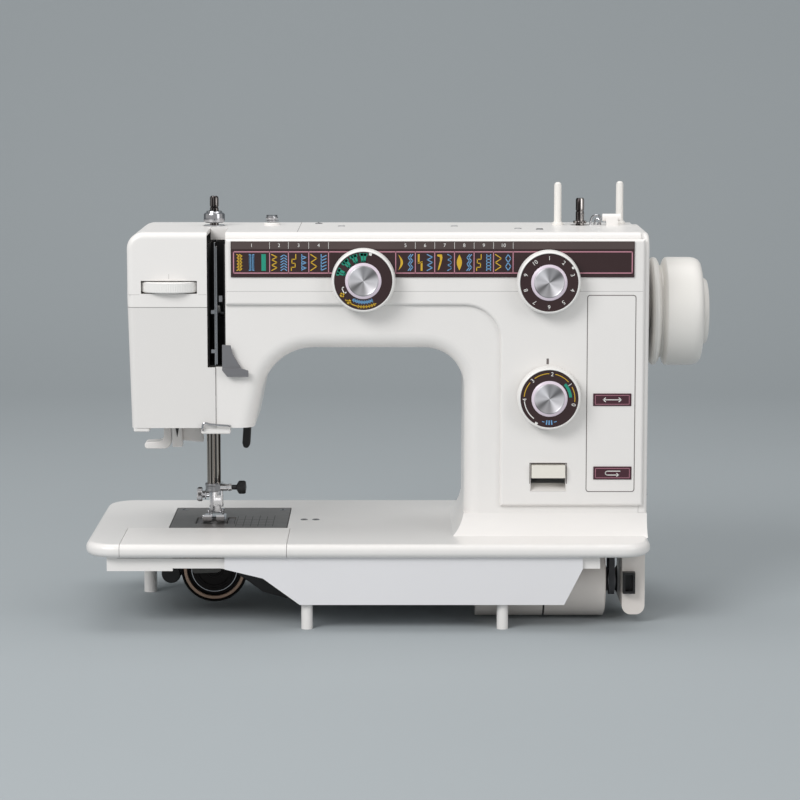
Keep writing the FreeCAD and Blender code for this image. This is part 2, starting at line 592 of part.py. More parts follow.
def make_controls():
    sizes(
        width_radius=21, selector_radius=21, length_radius=21, dial_height=9.5, dial_stem=21,
        dial_bevel=1.5, dial_rim=3,
        dial_dish=0.8, cap_radius=11.5, cap_rise=1, dial_gap=0.4,
        lever_left=86.2, lever_right=108.3, lever_front=-55, lever_back=-46, lever_bottom=96,
        lever_top=104.5, lever_hub=4,
        thumb_radius=22, thumb_clear=0.7,
    )
    for dial in ("width", "selector", "length"):
        rim = f"{dial}_radius"
        seat = "panel_front - dial_gap" if dial == "length" else "panel_front - chart_thick - dial_gap"
        profile = [
            ("0", "-dial_stem"), ("stem_radius", "-dial_stem"), ("stem_radius", "0"), (
                f"{rim} - dial_bevel", "0"),
            (rim, "dial_bevel"), (rim, "dial_height - dial_bevel"), (f"{rim} - dial_bevel", "dial_height"),
            (f"{rim} - dial_rim", "dial_height"), (f"{rim} - dial_rim", "dial_height - dial_dish"),
            ("cap_radius", "dial_height - dial_dish"), ("cap_radius", "dial_height + cap_rise"),
            ("0", "dial_height + cap_rise")]
        keep(f"{dial}_dial", turned(f"{dial}_knob", "-y", profile, seat, (f"{dial}_x", f"{dial}_z")))

    button = box(
        "lever_button", ("lever_left", "lever_right"), ("lever_front", "lever_back"),
        ("lever_bottom", "lever_top"))
    shank = box(
        "lever_shank", ("lever_left + 4", "lever_right - 4"), ("lever_back - 1", "reverse_y"),
        ("lever_bottom", "reverse_z + 2"))
    hub = rod(
        "lever_hub_rod", "x", "lever_hub", ("lever_left + 2", "lever_right - 2"),
        ("reverse_y", "reverse_z"))
    bore = rod(
        "lever_bore", "x", "reverse_pin + running", ("lever_left", "lever_right"),
        ("reverse_y", "reverse_z"))
    keep("reverse_lever", cut("lever_body", fuse("lever_solid", button, shank, hub), bore))

    wheel_span = ("thumb_bottom + thumb_clear", "thumb_top - thumb_clear")
    wheel = rod("thumb_disc", "z", "thumb_radius", wheel_span, ("tension_x", "tension_y"))
    wheel_bore = rod(
        "thumb_bore", "z", "bar_radius + running", ("thumb_bottom", "thumb_top"),
        ("tension_x", "tension_y"))
    keep("tension_wheel", cut("thumb_body", wheel, wheel_bore))


def make_top_fittings():
    sizes(
        strip_x=-121.7, strip_sheet=0.8, strip_front=-44, strip_back=-36, strip_reach=248,
        guide_plate_left=-115, guide_plate_right=-107, guide_plate_top=184, guide_plate_front=-51,
        guide_block_left=-117.5, guide_block_right=-100, guide_block_bottom=163, guide_block_front=-54,
        pretension_x=-87.4, pretension_y=20, stud_base=5.5, stud_neck=2.5, stud_head=4.2, stud_crown=3,
        stud_foot=2, stud_disc=3.6, stud_edge=5.6, stud_tip=6.7, bush_outer=6.8, bush_top=258.4,
        ring_bottom=260, ring_top=268, ring_radius=7.1,
        pin_bottom=246, pin_top=278.1,
        spool_left_x=106.3, spool_left_y=20, spool_right_x=149, spool_right_y=31, spool_radius=2.55,
        spool_top=286.9,
        spool_flange=4, spool_flange_thick=2,
        spindle_radius=2.9, spindle_top=276.1, spindle_flange=4.5, winder_wheel=8, winder_wheel_z=237,
        winder_wheel_thick=7,
        arm_bottom=245, arm_thick=3.4, stop_left=136.3, stop_right=148.5, stop_y=17, stop_z=263,
        stop_radius=2.6, stop_half=3.5,
    )
    keep(
        "tension_plate",
        box(
            "tension_sheet", ("strip_x", "strip_x + strip_sheet"), ("strip_front", "strip_back"),
            ("slot_floor", "strip_reach")))
    guide_plate = box(
        "guide_plate", ("guide_plate_left", "guide_plate_right"), ("guide_plate_front", "arm_front"),
        ("guide_block_bottom", "guide_plate_top"))
    guide_block = box(
        "guide_block", ("guide_block_left", "guide_block_right"), ("guide_block_front", "arm_front"),
        ("guide_block_bottom", "slot_floor"))
    keep("lower_thread_guide", fuse("guide_body", guide_plate, guide_block))
    keep("top_thread_guide", turned("pretension_stud", "z", [
        ("0", "0"), ("stud_base", "0"), ("stud_base", "stud_foot"), ("stud_neck", "stud_foot"), (
            "stud_neck", "stud_disc"),
        ("stud_head", "stud_disc"), ("stud_head", "stud_edge"), ("stud_crown", "stud_tip"),
        ("0", "stud_tip")],
        "top_of_case", ("pretension_x", "pretension_y")))
    axis = ("presser_x", "presser_y")
    bush = rod("pressure_tube", "z", "bush_outer", ("top_lug_z + lug_height / 2", "bush_top"), axis)
    bush_bore = rod("pressure_tube_bore", "z", "bar_radius + running", ("top_lug_z", "bush_top + 1"), axis)
    keep("pressure_bush", cut("pressure_bush_body", bush, bush_bore))
    ring = rod("pressure_collar", "z", "ring_radius", ("ring_bottom", "ring_top"), axis)
    ring_bore = rod(
        "pressure_collar_bore", "z", "bar_radius + 0.5", ("ring_bottom - 1", "ring_top + 1"), axis)
    keep("pressure_ring", cut("pressure_ring_body", ring, ring_bore))
    keep("pressure_pin", rod("pressure_rod", "z", "bar_radius", ("pin_bottom", "pin_top"), axis))
    spools = []
    for side in ("left", "right"):
        spools.append(turned(f"spool_{side}", "z", [
            ("0", "0"), ("spool_flange", "0"), ("spool_flange", "spool_flange_thick"), (
                "spool_radius", "spool_flange_thick"),
            ("spool_radius", "spool_top - top_of_case - 1"), (
                "spool_radius - 1", "spool_top - top_of_case"),
            ("0", "spool_top - top_of_case")], "top_of_case", (f"spool_{side}_x", f"spool_{side}_y")))
    keep("spool_pins", group("spool_set", *spools))
    keep("winder_spindle", turned("winder_rod", "z", [
        ("0", "0"), ("winder_wheel", "0"), ("winder_wheel", "winder_wheel_thick"), (
            "spindle_radius", "winder_wheel_thick"),
        ("spindle_radius", "top_of_case + 1 - winder_wheel_z"), (
            "spindle_flange", "top_of_case + 1 - winder_wheel_z"),
        ("spindle_flange", "top_of_case + 3 - winder_wheel_z"), (
            "spindle_radius", "top_of_case + 3 - winder_wheel_z"),
        ("spindle_radius", "spindle_top - winder_wheel_z - 1"), (
            "spindle_radius - 1", "spindle_top - winder_wheel_z"),
        ("0", "spindle_top - winder_wheel_z")], "winder_wheel_z", ("winder_x", "winder_y")))
    plate = box(
        "winder_plate", ("winder_x - 7", "winder_pivot_x + 6"), ("winder_y - 7", "winder_pivot_y + 6"),
        ("arm_bottom", "arm_bottom + arm_thick"))
    plate_bores = [
        rod(
            f"winder_{kind}_bore", "z", f"{radius} + running",
            ("arm_bottom - 1", "arm_bottom + arm_thick + 1"), centre)
        for kind, radius, centre in (
            ("spindle", "spindle_radius", ("winder_x", "winder_y")),
            ("pivot", "winder_pin", ("winder_pivot_x", "winder_pivot_y")))]
    keep("winder_arm", cut("winder_arm_body", plate, *plate_bores))
    stop_base = box(
        "stop_base", ("stop_left + 2.5", "stop_right - 2"), ("stop_y - stop_half", "stop_y + stop_half"),
        ("top_of_case", "stop_z"))
    barrel = rod("stop_barrel", "x", "stop_radius", ("stop_left", "stop_right"), ("stop_y", "stop_z"))
    keep("winder_stop", fuse("stop_body", stop_base, barrel))


def make_main_drive():
    sizes(
        wheel_x=164.5, wheel_hub=12, wheel_radius=36.5, wheel_flange=3.1, wheel_groove=8.5,
        wheel_groove_end=11.2,
        groove_radius=30.25, wheel_depth=37.6, wheel_round=3.6, wheel_recess=23.5, wheel_recess_floor=33,
        knob_radius=22.5, knob_gap=0.2, knob_depth=8.8, knob_round=2.4,
        shaft_left=-121.5, shaft_right=197, eccentric_left=76, eccentric_right=83, eccentric_radius=10,
        eccentric_throw=4,
        bush_front_end=-100, bush_rear_end=162,
        pulley_x=136.2, pulley_width=8.2, pulley_radius=34.5, pulley_core=31, pulley_lip=1.4,
        pulley_slope=0.5,
        crank_left=-121.5, crank_right=-116.5, crank_radius=20, crank_pin_end=-122.6, crank_throw=13,
        crank_pin=2.5,
        cam_length=58, cam_pitch=6, cam_large=13, cam_small=9, cam_first=5,
        belt_left=138.5, belt_right=142.3, belt_inner=31.3, belt_inner_small=7.3, belt_thick=2.7,
        motor_y=-38, motor_z=25,
    )
    on_shaft = ("shaft_y", "shaft_z")
    keep("handwheel", turned("wheel_body", "x", [
        ("shaft_radius", "0"), ("wheel_hub", "0"), ("wheel_hub", "wheel_flange"), (
            "wheel_radius - 1", "wheel_flange"),
        ("wheel_radius", "wheel_flange + 1"), ("wheel_radius", "wheel_groove"), (
            "groove_radius", "wheel_groove"),
        ("groove_radius", "wheel_groove_end"), ("wheel_radius", "wheel_groove_end"), (
            "wheel_radius", "wheel_depth - wheel_round"),
        ("wheel_radius - wheel_round * 0.3", "wheel_depth - wheel_round * 0.3"), (
            "wheel_radius - wheel_round", "wheel_depth"),
        ("wheel_recess", "wheel_depth"), ("wheel_recess", "wheel_recess_floor"),
        ("shaft_radius", "wheel_recess_floor")],
        "wheel_x", on_shaft))
    keep("clutch_knob", turned("knob_body", "x", [
        ("0", "0"), ("knob_radius", "0"), ("knob_radius", "knob_depth - knob_round"),
        ("knob_radius - knob_round", "knob_depth"),
        ("0", "knob_depth")], "wheel_x + wheel_recess_floor + knob_gap", on_shaft))
    bar = rod("shaft_bar", "x", "shaft_radius", ("shaft_left", "shaft_right"), on_shaft)
    eccentric = rod(
        "shaft_eccentric", "x", "eccentric_radius", ("eccentric_left", "eccentric_right"),
        ("shaft_y", "shaft_z + eccentric_throw"))
    keep("main_shaft", fuse("shaft_body", bar, eccentric))
    bushes = []
    for end, span in (
        ("front", ("slot_right", "bush_front_end")), ("rear", ("arm_end - wall", "bush_rear_end"))):
        tube = rod(f"bush_{end}", "x", "bush_radius", span, on_shaft)
        bore = rod(
            f"bush_{end}_bore", "x", "shaft_radius + running", (f"{span[0]} - 1", f"{span[1]} + 1"),
            on_shaft)
        bushes.append(cut(f"bush_{end}_body", tube, bore))
    keep("shaft_bushes", group("bush_set", *bushes))
    keep("shaft_pulley", turned("pulley_body", "x", [
        ("shaft_radius", "0"), ("pulley_radius", "0"), ("pulley_radius", "pulley_lip"), (
            "pulley_core", "pulley_lip + pulley_slope"),
        ("pulley_core", "pulley_width - pulley_lip - pulley_slope"), (
            "pulley_radius", "pulley_width - pulley_lip"),
        ("pulley_radius", "pulley_width"), ("shaft_radius", "pulley_width")], "pulley_x", on_shaft))
    disc = rod("crank_plate", "x", "crank_radius", ("crank_left", "crank_right"), on_shaft)
    relief = box(
        "crank_relief", ("crank_left - 1", "crank_right + 1"), (
            "shaft_y + crank_throw - 4", "shaft_y + crank_radius"),
        ("shaft_z + crank_pin * 2", "shaft_z + crank_radius"))
    pin = rod(
        "crank_stub", "x", "crank_pin", ("crank_pin_end", "crank_left + 1"),
        ("shaft_y", "shaft_z - crank_throw"))
    crank_bore = rod("crank_bore", "x", "shaft_radius", ("crank_left - 2", "crank_right + 1"), on_shaft)
    keep("crank_disc", cut("crank_body", fuse("crank_solid", disc, pin), relief, crank_bore))
    cams = [("0", "0"), ("cam_shaft", "0"), ("cam_shaft", "cam_first")]
    for index in range(8):
        radius = "cam_small" if index % 2 else "cam_large"
        cams += [
            (radius, f"cam_first + {index} * cam_pitch"),
            (radius, f"cam_first + {index + 1} * cam_pitch")]
    cams += [("cam_shaft", "cam_first + 8 * cam_pitch"), ("cam_shaft", "cam_length"), ("0", "cam_length")]
    keep("cam_stack", turned("cam_body", "x", cams, "cam_left", ("cam_y", "cam_z")))
    keep("drive_belt", belt_loop())


def belt_loop():
    """An endless belt round the shaft pulley and the motor pulley, in a plane square to X."""
    upper = Vector(0, number("shaft_y"), number("shaft_z"))
    lower = Vector(0, number("motor_y"), number("motor_z"))
    down = lower - upper
    heading = atan2(down.z, down.y)
    large, small = number("belt_inner"), number("belt_inner_small")
    spread = acos((large - small) / down.Length)

    def loop(extra):
        def on_circle(centre, radius, angle):
            return centre + Vector(0, cos(angle), sin(angle)) * (radius + extra)
        first, last = heading + spread, heading - spread
        beyond = heading + 2 * acos(0)
        top = Part.Arc(
            on_circle(upper, large, first), on_circle(upper, large, beyond),
            on_circle(upper, large, last))
        bottom = Part.Arc(
            on_circle(lower, small, last), on_circle(lower, small, heading),
            on_circle(lower, small, first))
        falling = Part.LineSegment(on_circle(upper, large, last), on_circle(lower, small, last))
        rising = Part.LineSegment(on_circle(lower, small, first), on_circle(upper, large, first))
        return Part.Face(Part.Wire([top.toShape(), falling.toShape(), bottom.toShape(), rising.toShape()]))
    ring = loop(number("belt_thick")).cut(loop(0))
    belt = doc.addObject("Part::Feature", "belt_body")
    belt.Shape = ring.extrude(Vector(number("belt_right - belt_left"), 0, 0))
    belt.Placement = Placement(Vector(number("belt_left"), 0, 0), Rotation())
    return belt


def make_motor():
    sizes(
        motor_left=49.3, motor_seam=94.5, motor_right=134.5, motor_radius=24, motor_wall=3, motor_pin=3,
        strap_left=60, strap_right=80, strap_front=-72, rotor_left=47, core_start=13, core_end=83,
        core_radius=14,
        motor_pulley_start=89.8, motor_pulley_end=97.2, motor_pulley_lip=1.2, motor_pulley_core=7,
        motor_pulley_radius=9.5,
        box_left=146, box_right=161, box_front=-62, box_back=-14, box_bottom=6, box_wall=2, box_corner=6,
        inlet_left=146.2, inlet_right=154.2, inlet_front=-68, inlet_bottom=21, inlet_top=35, inlet_rim=1.5,
        inlet_floor=1,
    )
    on_motor = ("motor_y", "motor_z")
    can = rod("motor_can", "x", "motor_radius", ("motor_left", "motor_seam"), on_motor)
    strap = box(
        "motor_strap", ("strap_left", "strap_right"), ("strap_front", "motor_y - motor_radius + 2"),
        ("motor_z", "bed_top - bed_skin"))
    inside = rod(
        "motor_inside", "x", "motor_radius - motor_wall", ("motor_left + motor_wall", "motor_seam + 1"),
        on_motor)
    journal = rod(
        "motor_journal", "x", "motor_pin + running", ("motor_left - 1", "motor_left + motor_wall + 1"),
        on_motor)
    keep("motor_housing", cut("motor_body", fuse("motor_solid", can, strap), inside, journal))
    cap = rod("motor_cap", "x", "motor_radius", ("motor_seam", "motor_right"), on_motor)
    cap_inside = rod(
        "cap_inside", "x", "motor_radius - motor_wall", ("motor_seam - 1", "motor_right - motor_wall"),
        on_motor)
    cap_journal = rod(
        "cap_journal", "x", "motor_pin + running", ("motor_right - motor_wall - 1", "motor_right + 1"),
        on_motor)
    keep("motor_end_cap", cut("motor_cap_body", cap, cap_inside, cap_journal))
    keep("motor_rotor", turned("rotor_body", "x", [
        ("0", "0"), ("motor_pin", "0"), ("motor_pin", "core_start"), ("core_radius", "core_start"), (
            "core_radius", "core_end"),
        ("motor_pin", "core_end"), ("motor_pin", "motor_pulley_start"), (
            "motor_pulley_radius", "motor_pulley_start"),
        ("motor_pulley_core", "motor_pulley_start + motor_pulley_lip"), (
            "motor_pulley_core", "motor_pulley_end - motor_pulley_lip"),
        ("motor_pulley_radius", "motor_pulley_end"), ("0", "motor_pulley_end")], "rotor_left", on_motor))
    case = prism("terminal_block", "XZ_Plane", [
        ("box_left", "box_bottom"), ("box_right", "box_bottom"), ("box_right", "bed_top - bed_lip"),
        ("box_left", "bed_top - bed_lip")], ("box_front", "box_back"))
    round_edges(case, "box_corner", lambda edge: runs(edge, "y") and lies_at(edge, "z", "box_bottom"))
    case_inside = box(
        "terminal_inside", ("box_left + box_wall", "box_right - box_wall"), (
            "box_front + box_wall", "box_back - box_wall"),
        ("box_bottom + box_wall", "bed_top"))
    keep("terminal_box", cut("terminal_body", case, case_inside))
    inlet = box(
        "inlet_block", ("inlet_left", "inlet_right"), ("inlet_front", "box_front"),
        ("inlet_bottom", "inlet_top"))
    recess = box(
        "inlet_recess", ("inlet_left + inlet_rim", "inlet_right - inlet_rim"), (
            "inlet_front - 1", "box_front - inlet_floor"),
        ("inlet_bottom + inlet_rim", "inlet_top - inlet_rim"))
    keep("power_inlet", cut("inlet_body", inlet, recess))


def make_head_mechanism():
    sizes(
        lever_plate_left=-119.6, lever_plate_right=-117.4, take_up_hub=5, take_up_tip_y=-46.3,
        take_up_low_z=212, take_up_high_z=216,
        thread_eye=1.2, thread_eye_y=2.6, thread_eye_z=2.2,
        spine_left=-142, spine_right=-132, spine_front=4.5, spine_back=8, spine_bottom=150, spine_top=242,
        frame_lug_right=-124.6, frame_lug_front=-5, frame_lug=8, frame_upper_z=190,
        needle_bar_bottom=84, needle_bar_top=226, clamp_bottom=78, clamp_radius=4.4, clamp_stud=1.8,
        clamp_stud_z=80.9,
        thumb_head_left=-110, thumb_head_right=-104.9, thumb_head_radius=4.5,
        needle_tip=47.5, needle_point=3, needle_shank_z=64, needle_shank=1, needle_blade=0.45,
        presser_bottom=82, presser_top=233.5, sole_left=-134, sole_right=-119.4, sole_front=-13,
        sole_back=15,
        sole_bottom=58.4, sole_top=61, shank_half=4.5, shank_front=7, shank_back=18, shank_bottom=64,
        foot_hole_half=2.5, foot_screw_z=74, foot_screw_left=-139.4, foot_screw_neck=-133,
        foot_screw_radius=4.85, foot_stud=2,
        lifter_front=50.5, lifter_back=56, lifter_hub=8,
        threader_bottom=106, threader_top=190, tab_left=-174.7, tab_front=8, tab_thick=4,
    )
    plate_span = ("lever_plate_left", "lever_plate_right")
    arm = prism("take_up_arm", "YZ_Plane", [
        ("take_up_y", "take_up_z - take_up_hub + 1"), ("take_up_y", "take_up_z + take_up_hub - 1"),
        ("take_up_tip_y", "take_up_high_z"), ("take_up_tip_y", "take_up_low_z")], plate_span)
    hub = rod("take_up_hub_disc", "x", "take_up_hub", plate_span, ("take_up_y", "take_up_z"))
    through = ("lever_plate_left - 1", "lever_plate_right + 1")
    eye = rod(
        "take_up_eye", "x", "thread_eye", through,
        ("take_up_tip_y + thread_eye_y", "take_up_low_z + thread_eye_z"))
    pivot = rod("take_up_bore", "x", "take_up_pin + running", through, ("take_up_y", "take_up_z"))
    keep("take_up_lever", cut("take_up_body", fuse("take_up_solid", arm, hub), eye, pivot))

    spine = box(
        "frame_spine", ("spine_left", "spine_right"), ("spine_front", "spine_back"),
        ("spine_bottom", "spine_top"))
    lugs = [
        box(
            f"frame_lug_{level}", ("spine_left", "frame_lug_right"), ("frame_lug_front", "spine_back"),
            (level, f"{level} + frame_lug"))
        for level in ("spine_bottom", "frame_upper_z")]
    slide = rod(
        "frame_slide", "z", "bar_radius + running", ("spine_bottom - 1", "spine_top"), ("needle_x", "0"))
    swing = rod(
        "frame_swing", "y", "bar_radius + running", ("spine_front - 1", "spine_back + 1"),
        ("swing_x", "swing_z"))
    keep("needle_bar_frame", cut("frame_body", fuse("frame_solid", spine, *lugs), slide, swing))
    keep(
        "needle_bar",
        rod("needle_rod", "z", "bar_radius", ("needle_bar_bottom", "needle_bar_top"), ("needle_x", "0")))
    clamp = rod(
        "clamp_block", "z", "clamp_radius", ("clamp_bottom", "needle_bar_bottom"), ("needle_x", "0"))
    stud = rod(
        "clamp_stud_rod", "x", "clamp_stud", ("needle_x", "thumb_head_left + 1"), ("0", "clamp_stud_z"))
    head = rod(
        "clamp_head", "x", "thumb_head_radius", ("thumb_head_left", "thumb_head_right"),
        ("0", "clamp_stud_z"))
    keep("needle_clamp", fuse("clamp_body", clamp, stud, head))
    keep("needle", turned("needle_body", "z", [
        ("0", "0"), ("needle_blade", "needle_point"), ("needle_blade", "needle_shank_z - needle_tip"),
        ("needle_shank", "needle_shank_z + 1 - needle_tip"), ("needle_shank", "clamp_bottom - needle_tip"),
        ("0", "clamp_bottom - needle_tip")], "needle_tip", ("needle_x", "0")))

    keep(
        "presser_bar",
        rod("presser_rod", "z", "bar_radius", ("presser_bottom", "presser_top"), ("presser_x", "presser_y")))
    sole = box(
        "foot_sole", ("sole_left", "sole_right"), ("sole_front", "sole_back"),
        ("sole_bottom", "sole_top"))
    shank = box(
        "foot_shank", ("presser_x - shank_half", "presser_x + shank_half"), ("shank_front", "shank_back"),
        ("shank_bottom", "presser_bottom"))
    ankle = box(
        "foot_ankle", ("presser_x - shank_half + 1", "presser_x + shank_half - 1"), (
            "shank_front", "shank_front + 5"),
        ("sole_top - 1", "shank_bottom + 1"))
    foot_hole = box(
        "foot_hole", ("needle_slot_left - 1", "needle_slot_right + 1"),
        ("-foot_hole_half", "foot_hole_half"), ("sole_bottom - 1", "sole_top + 1"))
    keep("presser_foot", cut("foot_body", fuse("foot_solid", sole, shank, ankle), foot_hole))
    screw_axis = ("presser_y", "foot_screw_z")
    screw_head = rod(
        "foot_screw_head", "x", "foot_screw_radius", ("foot_screw_left", "foot_screw_neck"), screw_axis)
    screw_stud = rod(
        "foot_screw_stud", "x", "foot_stud", ("foot_screw_neck - 1", "presser_x - shank_half"),
        screw_axis)
    keep("foot_screw", fuse("foot_screw_body", screw_head, screw_stud))

    lever_span = ("lifter_front", "lifter_back")
    handle = prism("lifter_handle", "XZ_Plane", [
        ("lifter_x - 5", "lifter_z - 3"), ("lifter_x + 3", "lifter_z + 7"), (
            "lifter_x + 20", "lifter_z - 16"),
        ("lifter_x + 18.5", "lifter_z - 26"), ("lifter_x + 11.5", "lifter_z - 50.5"), (
            "lifter_x + 6.5", "lifter_z - 49.5"),
        ("lifter_x + 12", "lifter_z - 26"), ("lifter_x + 11.5", "lifter_z - 19")], lever_span)
    lifter_disc = rod("lifter_disc", "y", "lifter_hub", lever_span, ("lifter_x", "lifter_z"))
    lifter_bore = rod(
        "lifter_bore", "y", "bar_radius + running", ("lifter_front - 1", "lifter_back + 1"),
        ("lifter_x", "lifter_z"))
    keep("lifter_lever", cut("lifter_body", fuse("lifter_solid", handle, lifter_disc), lifter_bore))

    slider = box(
        "threader_slider", ("threader_left", "threader_right"), ("threader_front", "threader_back"),
        ("threader_bottom", "threader_top"))
    tab = box(
        "threader_tab", ("tab_left", "threader_right"), ("tab_front", "threader_back"),
        ("threader_bottom", "threader_bottom + tab_thick"))
    keep("needle_threader", fuse("threader_body", slider, tab))


def make_lower_mechanism():
    sizes(
        rock_left=-115, rock_right=92, gear_left=-122, gear_face=-119.8, gear_small=10.6, gear_large=16.9,
        rock_arm_left=84, rock_arm_right=90, rock_arm_length=12, rock_arm_half=4, rock_pin=2.5,
        rock_pin_left=76,
        rod_left=77, rod_right=82, rod_eye=26.5, rod_eye_bore=22.5, rod_half=5, rod_foot=18, rod_head=184,
        rod_bore=4.7,
        feed_left=-140, feed_right=-112, feed_front=9.5, feed_back=44, feed_bottom=46, feed_thick=3,
        dog_left=-139.5, dog_right=-112.5, dog_front=-9, dog_back=20, dog_bottom=51.6, dog_top=53.8,
        tooth_top=57.2,
        dog_hole_left=-132.5, dog_hole_right=-119.5, dog_hole_half=4,
        race_front=-14, race_back=6, race_bore=19.5, race_floor=4, race_hub=9, race_hub_end=18,
        race_mouth_half=10, race_mouth_z=44,
        shuttle_radius=19.1, shuttle_front=-11, shuttle_back=-1.2, shuttle_rim=16, shuttle_floor=-4,
        hook_shaft_radius=5, pinion_start=28.6, pinion_end=34, pinion_large=5.6, pinion_small=3.7,
        case_radius=15.5, case_front=-16, case_back=-4.4, case_wall=1.5, case_stud=3, case_stud_end=-5,
        bobbin_front=-13.8, bobbin_length=8.5, bobbin_flange=1.2, bobbin_radius=10.3, bobbin_core=4.5,
    )
    on_rock = ("rock_y", "hook_z")
    bar = rod("rock_bar", "x", "rock_radius", ("rock_left", "rock_right"), on_rock)
    bevel = cone("rock_bevel", "x", ("gear_small", "gear_large"), ("gear_left", "gear_face"), on_rock)
    rim = rod("rock_gear_rim", "x", "gear_large", ("gear_face", "rock_left"), on_rock)
    arm = box(
        "rock_arm", ("rock_arm_left", "rock_arm_right"), ("rock_y - rock_arm_length - 3", "rock_y"),
        ("hook_z - rock_arm_half", "hook_z + rock_arm_half"))
    pin_axis = ("rock_y - rock_arm_length", "hook_z")
    pin = rod("rock_arm_pin", "x", "rock_pin", ("rock_pin_left", "rock_arm_left + 1"), pin_axis)
    keep("rock_shaft", fuse("rock_body", bar, bevel, rim, arm, pin))

    span = ("rod_left", "rod_right")
    eye = rod("rod_eye_disc", "x", "rod_eye", span, ("shaft_y", "shaft_z"))
    shank = box(
        "rod_shank", span,
        ("rock_y - rock_arm_length - rod_half", "rock_y - rock_arm_length + rod_half"),
        ("rod_foot", "rod_head"))
    neck = box(
        "rod_neck", span, ("shaft_y", "rock_y - rock_arm_length + rod_half"),
        ("rod_head - 8", "rod_head"))
    beyond = ("rod_left - 1", "rod_right + 1")
    eye_bore = rod("rod_eye_hole", "x", "rod_eye_bore", beyond, ("shaft_y", "shaft_z"))
    foot_bore = rod("rod_foot_hole", "x", "rod_bore", beyond, pin_axis)
    keep("connecting_rod", cut("rod_body", fuse("rod_solid", eye, shank, neck), eye_bore, foot_bore))

    keep(
        "feed_bar",
        box(
            "feed_plate", ("feed_left", "feed_right"), ("feed_front", "feed_back"),
            ("feed_bottom", "feed_bottom + feed_thick")))
    base = box("dog_base", ("dog_left", "dog_right"), ("dog_front", "dog_back"), ("dog_bottom", "dog_top"))
    rows = [
        box(
            f"dog_{row}", (row, f"{row} + row_width"), ("row_front", "row_back"),
            ("dog_top - 1", "tooth_top"))
        for row in ("row_left", "row_right")]
    dog_hole = box(
        "dog_hole", ("dog_hole_left", "dog_hole_right"), ("-dog_hole_half", "dog_hole_half"),
        ("dog_bottom - 1", "tooth_top"))
    keep("feed_dog", cut("dog_body", fuse("dog_solid", base, *rows), dog_hole))

    on_hook = ("hook_x", "hook_z")
    drum = rod("race_drum", "y", "hook_radius", ("race_front", "race_back"), on_hook)
    race_hub = rod("race_hub_rod", "y", "race_hub", ("race_back - 1", "race_hub_end"), on_hook)
    hanger = prism("race_hanger", "XZ_Plane", [
        ("hook_x + 18", "hook_z - 6"), ("hook_x + 42", "hook_z"), ("hook_x + 64", "bed_top - bed_skin - 6"),
        ("hook_x + 64", "bed_top - bed_skin"), ("hook_x + 42", "bed_top - bed_skin"),
        ("hook_x + 18", "hook_z + 8")], ("-6", "race_back"))
    race_inside = rod("race_inside", "y", "race_bore", ("race_front - 1", "race_floor"), on_hook)
    race_bearing = rod(
        "race_bearing", "y", "hook_shaft_radius + running", ("race_floor - 1", "race_hub_end + 1"),
        on_hook)
    mouth = box(
        "race_mouth", ("hook_x - race_mouth_half", "hook_x + race_mouth_half"), (
            "race_front - 1", "race_floor"),
        ("race_mouth_z", "hook_z + hook_radius + 1"))
    keep(
        "hook_race",
        cut("race_body", fuse("race_solid", drum, race_hub, hanger), race_inside, race_bearing, mouth))

    body = rod("shuttle_drum", "y", "shuttle_radius", ("shuttle_front", "shuttle_back"), on_hook)
    pocket = rod("shuttle_pocket", "y", "shuttle_rim", ("shuttle_front - 1", "shuttle_floor"), on_hook)
    beak = box(
        "shuttle_beak", ("hook_x + 2", "hook_x + hook_radius"), ("shuttle_front - 1", "shuttle_floor"),
        ("hook_z + 3", "hook_z + hook_radius"))
    keep("shuttle", cut("shuttle_body", body, pocket, beak))
    axle = rod("hook_axle", "y", "hook_shaft_radius", ("shuttle_back", "pinion_start"), on_hook)
    pinion = cone(
        "hook_pinion", "y", ("pinion_large", "pinion_small"), ("pinion_start", "pinion_end"), on_hook)
    keep("hook_shaft", fuse("hook_shaft_body", axle, pinion))
    cup = rod("case_cup", "y", "case_radius", ("case_front", "case_back"), on_hook)
    cup_inside = rod(
        "case_inside", "y", "case_radius - case_wall", ("case_front + case_wall", "case_back + 1"),
        on_hook)
    stud = rod("case_stud_rod", "y", "case_stud", ("case_front", "case_stud_end"), on_hook)
    keep("bobbin_case", fuse("case_body", cut("case_shell", cup, cup_inside), stud))
    keep("bobbin", turned("bobbin_body", "y", [
        ("case_stud + running", "0"), ("bobbin_radius", "0"), ("bobbin_radius", "bobbin_flange"), (
            "bobbin_core", "bobbin_flange"),
        ("bobbin_core", "bobbin_length - bobbin_flange"), (
            "bobbin_radius", "bobbin_length - bobbin_flange"),
        ("bobbin_radius", "bobbin_length"),
        ("case_stud + running", "bobbin_length")], "bobbin_front", on_hook))


def write_parts():
    """Recompute, check every object and write one file per piece."""
    doc.recompute()
    failed = [item.Name for item in doc.Objects if {"Invalid", "Error"} & set(item.State)]
    failed += [node for node, piece in pieces.items() if piece.Shape.isNull() or not piece.Shape.isValid()]
    if failed:
        raise RuntimeError("failed: " + ", ".join(failed))
    os.makedirs("parts", exist_ok=True)
    for node, piece in pieces.items():
        piece.Shape.exportStep(f"parts/{node}.step")
        print(node, len(piece.Shape.Solids), round(piece.Shape.Volume))


make_bed()
make_needle_plate()
make_shuttle_cover()
make_under_tray()
make_hinge_sockets()
make_arm_casting()
make_covers()
make_controls()
make_top_fittings()
make_main_drive()
make_motor()
make_head_mechanism()
make_lower_mechanism()
write_parts()
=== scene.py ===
import bpy
import bmesh
from math import atan2, cos, pi, radians, sin
from mathutils import Matrix, Vector


